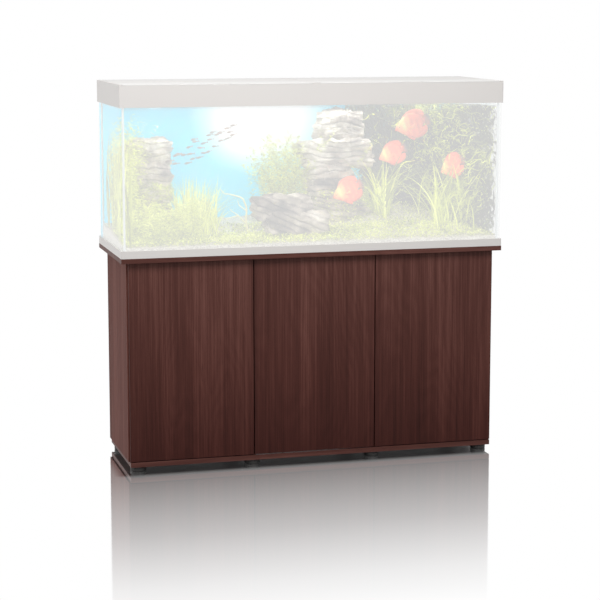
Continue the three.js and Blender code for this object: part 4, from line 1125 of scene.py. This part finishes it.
class AQUARIUM_OT_planting(bpy.types.Operator):
    """Carpet, moss, thicket, bushes, long leaves and a twig"""
    bl_idname = "aquarium.planting"
    bl_label = "Plants"

    def execute(self, context):
        settings = context.scene.aquarium_planting
        bright = tinted("leaf_bright", LEAF_GREEN, rough=0.55, detail_scale=40.0, glow=0.30)
        dark = tinted("leaf_dark", LEAF_DARK, rough=0.6, detail_scale=30.0, glow=0.10)
        self.add_carpet(settings, bright)
        self.add_moss(settings, bright)
        self.add_thicket(settings, dark)
        self.add_clumps(bright)
        self.add_bushes(bright)
        self.add_twig()
        return {"FINISHED"}

    def add_carpet(self, settings, material):
        """Low rosettes over the whole front and up the slope on the right."""
        rng = np.random.default_rng(11)
        count = settings.carpet_leaves
        front = scatter(rng, count // 2, (-0.99, 0.99), (-0.985, -0.35))
        slope = scatter(rng, count - count // 2 - count // 4, (-0.45, 0.80), (-0.75, 0.45))
        verts, _, _, direction = placed_stones("rock_right")[3]
        verts = verts[(direction[:, 2] > -0.35) & (direction[:, 1] < 0.25)]
        on_stone = verts[rng.integers(0, len(verts), count // 4)]
        base = np.concatenate([front, slope, on_stone])
        turn = rng.uniform(0, 2 * np.pi, count)
        rise = rng.uniform(0.25, 1.3, count)
        heading = unit(np.stack([np.cos(turn), np.sin(turn), rise], axis=-1))
        base[:, 2] += rng.uniform(0.0, 0.014, count)
        length = rng.uniform(0.009, 0.017, count)
        part = leaves_part(base, heading, length, rng.uniform(0.0022, 0.0038, count),
                           rng.uniform(0.0, 0.5, count))
        tint = 0.36 + 0.55 * rng.random(count) + 0.2 * fractal(base / 0.06, 3, 6)
        build("carpet_plants", keep_inside(part), material, tint=per_vertex(tint, part))

    def add_moss(self, settings, material):
        """Moss on the tops and fronts of the lower stones on the left, and a mound in front of them."""
        rng = np.random.default_rng(12)
        count = settings.moss_leaves
        verts = []
        for stone_verts, _, _, direction in placed_stones("rock_left")[2:]:
            verts.append(stone_verts[(direction[:, 2] > -0.25) & (direction[:, 1] < 0.5)])
        verts = np.concatenate(verts)
        base = verts[rng.integers(0, len(verts), count * 2 // 3)]
        mound = scatter(rng, count - len(base), (-0.985, -0.55), (-0.8, 0.2))
        mound[:, 2] += 0.05 * np.exp(-((mound[:, 0] / HALF_W + 0.75) / 0.16) ** 2) * rng.random(len(mound))
        base = np.concatenate([base, mound])
        turn = rng.uniform(0, 2 * np.pi, count)
        heading = unit(np.stack([np.cos(turn), np.sin(turn) - 0.4, rng.uniform(0.1, 1.4, count)], axis=-1))
        length = rng.uniform(0.012, 0.026, count)
        part = leaves_part(base, heading, length, rng.uniform(0.002, 0.0038, count),
                           rng.uniform(0.0, 0.7, count))
        patch = 0.5 + 0.5 * fractal(base / 0.05, 3, 4)
        tint = 0.18 + 0.42 * rng.random(count) + 0.35 * patch
        build("moss_left", keep_inside(part), material, tint=per_vertex(tint, part))

    def add_thicket(self, settings, material):
        """A wall of dark leaves across the back and the right end, with lighter sprays through it."""
        rng = np.random.default_rng(13)
        count = settings.wall_leaves
        w = rng.uniform(0.10, 0.985, count)
        u = rng.uniform(0.41 - 0.12 * w ** 3, 0.99, count)
        v = 0.74 - 1.60 * np.clip((u - 0.62) / 0.38, 0, 1) ** 1.3 + 0.16 * rng.normal(0, 1, count)
        v = np.clip(v, -0.96, FILTER_SHARE[1])
        base = np.stack([u * HALF_W, v * HALF_D, BED + w * WATER_H], axis=-1)
        turn = rng.uniform(0, 2 * np.pi, count)
        heading = unit(np.stack([np.cos(turn), np.sin(turn) - 0.7, rng.uniform(-0.5, 0.9, count)], axis=-1))
        length = rng.uniform(0.020, 0.048, count)
        part = leaves_part(base, heading, length, rng.uniform(0.004, 0.009, count),
                           rng.uniform(0.1, 0.9, count))
        patch = fractal(base / 0.09, 3, 8)
        tint = 0.30 + 0.38 * rng.random(count) + 0.62 * patch
        build("thicket_right", keep_inside(part), material, tint=per_vertex(tint, part))
        strands = 1500
        u = rng.uniform(0.46, 0.98, strands)
        w = rng.uniform(0.22, 0.93, strands) ** 0.9
        v = 0.60 - 1.55 * np.clip((u - 0.62) / 0.38, 0, 1) ** 1.3 + 0.1 * rng.normal(0, 1, strands)
        base = np.stack([u * HALF_W, np.clip(v, -0.96, 0.5) * HALF_D, BED + w * WATER_H], axis=-1)
        curls = curls_part(base, rng, rng.uniform(0.05, 0.14, strands), rng.uniform(0.0014, 0.0034, strands))
        bright = bpy.data.materials["leaf_bright"]
        tint = 0.25 + 0.65 * rng.random(strands)
        build("curling_stems", keep_inside(curls), bright, tint=per_vertex(tint, curls))

    def add_clumps(self, material):
        """Rosettes of long leaves: two on the right, one against the left end and one behind the moss."""
        rng = np.random.default_rng(14)
        clumps = [
            ("long_leaves_middle", (0.46, 0.02), 60, (0.16, 0.30), 0.0042, (0.25, 1.3), 0.03),
            ("long_leaves_right", (0.76, -0.30), 64, (0.16, 0.33), 0.0042, (0.3, 1.35), 0.05),
            ("long_leaves_far_right", (0.92, -0.40), 44, (0.16, 0.34), 0.0038, (0.2, 1.0), 0.04),
            ("long_leaves_left", (-0.955, 0.02), 110, (0.16, 0.43), 0.0036, (0.02, 0.35), 0.11),
        ]
        for name, (u, v), count, reach, width, lean, spread in clumps:
            x = u * HALF_W + rng.normal(0, spread, count) * (0.6 if u > 0 else 0.12)
            y = v * HALF_D + rng.normal(0, spread, count)
            base = np.stack([x, y, ground(x, y) - 0.002], axis=-1)
            turn = rng.uniform(0, 2 * np.pi, count)
            part = blades_part(base, turn, rng.uniform(*reach, count), width * rng.uniform(0.7, 1.3, count),
                               rng.uniform(*lean, count), rng.uniform(0.5, 1.2, count), 12)
            tint = 0.40 + 0.5 * rng.random(count)
            build(name, keep_inside(part), material, tint=per_vertex(tint, part))

    def add_bushes(self, material):
        """Fine grass left of the middle, and four bushes of leafy stems."""
        rng = np.random.default_rng(15)
        count = 300
        x = -0.585 * HALF_W + rng.normal(0, 0.042, count)
        y = -0.12 * HALF_D + rng.normal(0, 0.045, count)
        base = np.stack([x, y, ground(x, y) - 0.002], axis=-1)
        turn = rng.uniform(-0.9, 2.4, count)
        grass = blades_part(base, turn, rng.uniform(0.10, 0.240, count), rng.uniform(0.0018, 0.0032, count),
                            rng.uniform(0.1, 1.0, count), rng.uniform(0.5, 1.1, count), 9)
        tint = 0.42 + 0.45 * rng.random(count)
        build("grass_left", keep_inside(grass), material, tint=per_vertex(tint, grass))
        bushes = [
            ("feather_bush", (-0.045, 0.50), (0.05, 0.03), 96, (0.17, 0.34), 0.24, 0.24),
            ("feathers_left", (-0.93, 0.05), (0.016, 0.07), 90, (0.20, 0.45), 0.10, 0.34),
            ("feathers_front", (-0.80, -0.42), (0.07, 0.04), 80, (0.06, 0.15), 0.30, 0.34),
            ("feathers_right", (0.90, 0.10), (0.05, 0.07), 90, (0.25, 0.50), 0.22, 0.30),
        ]
        for name, place, spread, stems, reach, slope, shade in bushes:
            self.add_feathers(name, material, rng, place, spread, stems, reach, slope, shade)

    def add_feathers(self, name, material, rng, place, spread, stems, reach, slope, shade):
        """A bush of leafy stems. A stem leans by slope * t^1.5 of its height, with a leaf at each step."""
        leaves = 62
        foot = np.array(place) * [HALF_W, HALF_D] + rng.normal(0, 1, (stems, 2)) * spread
        lean = rng.normal(0, slope, (stems, 2))
        height = rng.uniform(*reach, stems)
        t = np.linspace(0.05, 1.0, leaves)
        base = np.empty((stems, leaves, 3))
        base[..., :2] = foot[:, None] + lean[:, None] * (height[:, None] * t ** 1.5)[..., None]
        base[..., 2] = ground(foot[:, 0], foot[:, 1])[:, None] + height[:, None] * t
        flat = base.reshape(-1, 3)
        turn = rng.uniform(0, 2 * np.pi, len(flat))
        heading = unit(np.stack([np.cos(turn), np.sin(turn), rng.uniform(0.1, 1.0, len(flat))], axis=-1))
        feathers = leaves_part(flat, heading, rng.uniform(0.014, 0.034, len(flat)),
                               rng.uniform(0.0024, 0.0050, len(flat)), rng.uniform(0, 0.6, len(flat)))
        tint = shade + 0.45 * rng.random(len(flat)) + 0.18 * np.tile(t, stems)
        build(name, keep_inside(feathers), material, tint=per_vertex(tint, feathers))

    def add_twig(self):
        """A bare twig that rises and forks beside the front rock: tapered round bars along bent paths."""
        stops = [(0.0, (0.25, 0.18, 0.08)), (0.5, (0.80, 0.72, 0.34)), (1.0, (0.97, 0.94, 0.70))]
        bark = tinted("twig_bark", stops, rough=0.8, bump=0.5, glow=0.2)
        forks = [
            ([(-0.29, -0.20, 0.06), (-0.31, -0.22, 0.16), (-0.305, -0.24, 0.26), (-0.33, -0.25, 0.33),
              (-0.38, -0.25, 0.352), (-0.425, -0.25, 0.36), (-0.445, -0.25, 0.395)], 0.0046),
            ([(-0.31, -0.22, 0.15), (-0.35, -0.25, 0.205), (-0.39, -0.25, 0.195),
              (-0.44, -0.25, 0.175)], 0.0034),
            ([(-0.305, -0.24, 0.24), (-0.345, -0.22, 0.275), (-0.35, -0.2, 0.31)], 0.0026),
            ([(-0.35, -0.25, 0.205), (-0.385, -0.24, 0.235), (-0.40, -0.24, 0.26)], 0.0022),
        ]
        parts = []
        for shares, radius in forks:
            points = np.array([inside(*share) for share in shares])
            t = np.linspace(0, len(points) - 1, 26)
            path = np.stack([np.interp(t, np.arange(len(points)), points[:, k]) for k in range(3)], axis=-1)
            smooth = path.copy()
            smooth[1:-1] = (path[:-2] + 2 * path[1:-1] + path[2:]) / 4
            path = smooth + 0.002 * np.stack([value_noise(smooth / 0.02, s) for s in (1, 2, 3)], -1)
            taper = radius * (1 - 0.7 * np.linspace(0, 1, len(t)))
            parts.append(sweep(path[None], taper, taper, np.array([0.2, 1.0, 0.1]), 7))
        part = joined(parts)
        build("twig", part, bark, tint=np.full(len(part[0]), 0.6))


FILTER_SHARE = (corner("filter_box", 0)[0] / HALF_W - 0.03, corner("filter_box", 0)[1] / HALF_D - 0.08)


# ---- Fish ----

def posed(verts, centre, yaw, pitch, size):
    """Fish coordinates, nose towards -X, scaled, pitched nose down and turned about Z, then placed."""
    cp, sp, cy, sy = math.cos(pitch), math.sin(pitch), math.cos(yaw), math.sin(yaw)
    tilt = np.array([[cp, 0, sp], [0, 1, 0], [-sp, 0, cp]])
    turn = np.array([[cy, -sy, 0], [sy, cy, 0], [0, 0, 1]])
    return verts * size @ (turn @ tilt).T + centre


def along(points, x):
    """A smooth curve through (x, z) points, read at x: straight runs, then averaged with their neighbours."""
    z = np.interp(x, *np.array(points).T)
    for _ in range(4):
        z[1:-1] = (z[:-2] + 2 * z[1:-1] + z[2:]) / 4
    return z


def fin_blade(x, top, low, thick, offset=0.0, sides=4):
    """A closed blade between two outlines over x, thick at its middle."""
    path = np.stack([x, x * 0 + offset, (top + low) / 2], axis=-1)
    return sweep(path[None], np.maximum((top - low) / 2, 0.002), thick, np.array([0, 0, 1.0]), sides)


def disc_fish():
    """A disc-shaped fish one unit long, nose at x = -0.5. The body and each fin lie between two outlines, and
    the body's thickness is a sine over its length. Returns the part and a tint: 0 dark, 0.5 red, 1 yellow."""
    back = [(-0.5, 0.0), (-0.47, 0.045), (-0.40, 0.115), (-0.30, 0.20), (-0.18, 0.285), (-0.05, 0.325),
            (0.08, 0.315), (0.20, 0.225), (0.27, 0.12), (0.33, 0.06)]
    belly = [(-0.5, -0.02), (-0.46, -0.05), (-0.38, -0.12), (-0.27, -0.215), (-0.13, -0.295), (0.0, -0.315),
             (0.12, -0.265), (0.22, -0.15), (0.28, -0.08), (0.33, -0.05)]
    dorsal = [(-0.26, 0.235), (-0.13, 0.345), (0.0, 0.392), (0.13, 0.395), (0.24, 0.35), (0.31, 0.275),
              (0.35, 0.18)]
    dorsal_root = [(-0.26, 0.20), (0.0, 0.28), (0.15, 0.22), (0.25, 0.115), (0.31, 0.08), (0.35, 0.12)]
    x = np.linspace(-0.5, 0.33, 46)
    share = (x + 0.5) / 0.83
    thick = 0.010 + 0.078 * np.sin(np.pi * share ** 0.75)
    body = fin_blade(x, along(back, x), along(belly, x), thick, sides=26)
    parts = [body]
    bx, bz = body[0][:, 0], body[0][:, 2]
    face = np.exp(-((bx + 0.26) / 0.15) ** 2 - ((bz - 0.10) / 0.22) ** 2)
    rim = np.clip((np.abs(bz) - 0.27) / 0.08, 0, 1) * (bz < 0) + np.clip((bx - 0.22) / 0.1, 0, 1)
    tints = [np.clip(0.55 + 0.36 * face - 0.15 * rim + 0.05 * np.sin(bx * 42), 0, 1)]
    x = np.linspace(-0.26, 0.35, 24)
    for sign in (1, -0.97):
        top, low = along(dorsal, x) * sign, along(dorsal_root, x) * sign
        fin = fin_blade(x, np.maximum(top, low), np.minimum(top, low), 0.006)
        parts.append(fin)
        tints.append(np.clip(0.52 - 1.5 * np.clip(np.abs(fin[0][:, 2]) - 0.34, 0, 1), 0, 1))
    x = np.linspace(0.28, 0.47, 12)
    high = along([(0.28, 0.06), (0.33, 0.12), (0.38, 0.165), (0.43, 0.17), (0.47, 0.12)], x)
    tail = fin_blade(x, high + 0.005, -high + 0.005, 0.010 - 0.034 * (x - 0.28))
    parts.append(tail)
    tints.append(np.clip(0.42 - 1.1 * (tail[0][:, 0] - 0.28), 0, 1))
    for sign in (1, -1):
        x = np.linspace(-0.14, 0.03, 8)
        spread = 0.028 + 0.045 * (x + 0.14) / 0.17
        side_fin = fin_blade(x, spread - 0.05, -spread - 0.05, 0.004, sign * 0.095)
        parts.append(side_fin)
        tints.append(np.full(len(side_fin[0]), 0.66))
        x = np.linspace(-0.20, -0.06, 8)
        tip = -0.27 - 0.9 * (x + 0.20)
        belly_fin = fin_blade(x, tip + 0.045, tip - 0.03, 0.004, sign * 0.03)
        parts.append(belly_fin)
        tints.append(np.full(len(belly_fin[0]), 0.46))
        eye = turned([(0.024, 0.0), (0.022, 0.009), (0.014, 0.014), (0.001, 0.016)],
                     (-0.375, sign * 0.046, 0.035), (0, sign, 0), 14)
        parts.append(eye)
        tints.append(np.zeros(len(eye[0])))
    return joined(parts), np.concatenate(tints)


class AQUARIUM_OT_fish(bpy.types.Operator):
    """Four disc-shaped fish and a shoal of small ones"""
    bl_idname = "aquarium.fish"
    bl_label = "Fish"

    def execute(self, context):
        settings = context.scene.aquarium_fish
        stops = [(0.0, (0.01, 0.01, 0.01)), (0.22, (0.12, 0.08, 0.06)), (0.42, (0.72, 0.10, 0.03)),
                 (0.58, (1.0, 0.17, 0.06)), (0.80, (1.0, 0.55, 0.16)), (1.0, (0.95, 0.92, 0.30))]
        skin = tinted("disc_fish_skin", stops, rough=0.35, detail_scale=70.0, bump=0.1, distance=0.0005,
                      glow=0.30)
        (verts, faces), tint = disc_fish()
        fish = [
            ("disc_fish_top", (0.625, -0.12, 0.822), -0.10, 0.30, 1.0),
            ("disc_fish_middle", (0.500, -0.25, 0.622), -0.35, 0.42, 0.82),
            ("disc_fish_right", (0.815, -0.45, 0.530), -0.95, 0.50, 0.86),
            ("disc_fish_low", (0.240, -0.37, 0.368), -0.20, 0.46, 0.90),
        ]
        for name, share, yaw, pitch, scale in fish:
            where = posed(verts, inside(*share), yaw, -pitch, settings.disc_length * scale)
            build(name, (where, faces), skin, tint=tint)
        self.add_shoal(settings)
        return {"FINISHED"}

    def add_shoal(self, settings):
        """Small fish along a rising band, each a slim spindle with a forked-looking tail: half height follows
        a sine to the stalk and then opens out."""
        rng = np.random.default_rng(21)
        count = settings.shoal_count
        share = rng.permutation(count) / (count - 1) + rng.normal(0, 0.03, count)
        wander = rng.uniform(-1.0, 1.0, count)
        u = -0.685 + 0.345 * share
        w = 0.590 + 0.205 * share + 0.082 * wander * (0.40 + 0.60 * np.sin(np.pi * np.clip(share, 0, 1)))
        v = rng.uniform(0.0, 0.35, count)
        centre = np.stack([u * HALF_W, v * HALF_D, BED + w * WATER_H], axis=-1)
        s = np.array([0.0, 0.10, 0.28, 0.50, 0.70, 0.80, 0.92, 1.0])
        high = np.array([0.01, 0.08, 0.15, 0.135, 0.06, 0.035, 0.11, 0.14]) * settings.shoal_length
        thick = np.array([0.01, 0.04, 0.06, 0.05, 0.025, 0.010, 0.006, 0.003]) * settings.shoal_length
        heading = [np.full(count, -1.0), rng.normal(0, 0.15, count), rng.normal(-0.16, 0.10, count)]
        heading = unit(np.stack(heading, -1))
        path = centre[:, None] - heading[:, None] * ((s - 0.5) * settings.shoal_length)[:, None]
        part = sweep(path, high, thick, np.array([0, 0, 1.0]), 8)
        stops = [(0.0, (0.04, 0.018, 0.012)), (0.5, (0.26, 0.12, 0.08)), (1.0, (0.60, 0.38, 0.30))]
        skin = tinted("shoal_skin", stops, rough=0.35, detail_scale=200.0, bump=0.1, distance=0.0003)
        tint = 0.25 + 0.4 * rng.random(count)
        build("shoal", part, skin, tint=per_vertex(tint, part))


# ---- Panel and registration ----

OPERATORS = (
    AQUARIUM_OT_stage, AQUARIUM_OT_cabinet, AQUARIUM_OT_fittings, AQUARIUM_OT_tank, AQUARIUM_OT_hood,
    AQUARIUM_OT_stones, AQUARIUM_OT_planting, AQUARIUM_OT_fish,
)
SETTINGS = {
    "aquarium_stage": AquariumStage,
    "aquarium_cabinet": AquariumCabinet,
    "aquarium_tank": AquariumTank,
    "aquarium_planting": AquariumPlanting,
    "aquarium_fish": AquariumFish,
}


class AQUARIUM_PT_panel(bpy.types.Panel):
    """Lists the settings and the operators"""
    bl_idname = "AQUARIUM_PT_panel"
    bl_label = "Aquarium on stand"
    bl_space_type = "VIEW_3D"
    bl_region_type = "UI"
    bl_category = "Aquarium"

    def draw(self, context):
        for operator in OPERATORS:
            self.layout.operator(operator.bl_idname)
        for name, group in SETTINGS.items():
            box = self.layout.box()
            box.label(text=group.__doc__)
            for label in group.__annotations__:
                box.prop(getattr(context.scene, name), label)


def register():
    """Adds the classes and puts the settings on the scene."""
    for group in SETTINGS.values():
        bpy.utils.register_class(group)
    for name, group in SETTINGS.items():
        setattr(bpy.types.Scene, name, PointerProperty(type=group))
    for operator in OPERATORS:
        bpy.utils.register_class(operator)
    bpy.utils.register_class(AQUARIUM_PT_panel)


def unregister():
    """Takes them away again."""
    bpy.utils.unregister_class(AQUARIUM_PT_panel)
    for operator in reversed(OPERATORS):
        bpy.utils.unregister_class(operator)
    for name, group in SETTINGS.items():
        delattr(bpy.types.Scene, name)
        bpy.utils.unregister_class(group)


def main():
    """Builds everything in order."""
    register()
    bpy.ops.aquarium.stage()
    bpy.ops.aquarium.cabinet()
    bpy.ops.aquarium.fittings()
    bpy.ops.aquarium.tank()
    bpy.ops.aquarium.hood()
    bpy.ops.aquarium.stones()
    bpy.ops.aquarium.planting()
    bpy.ops.aquarium.fish()


if __name__ == "__main__":
    main()
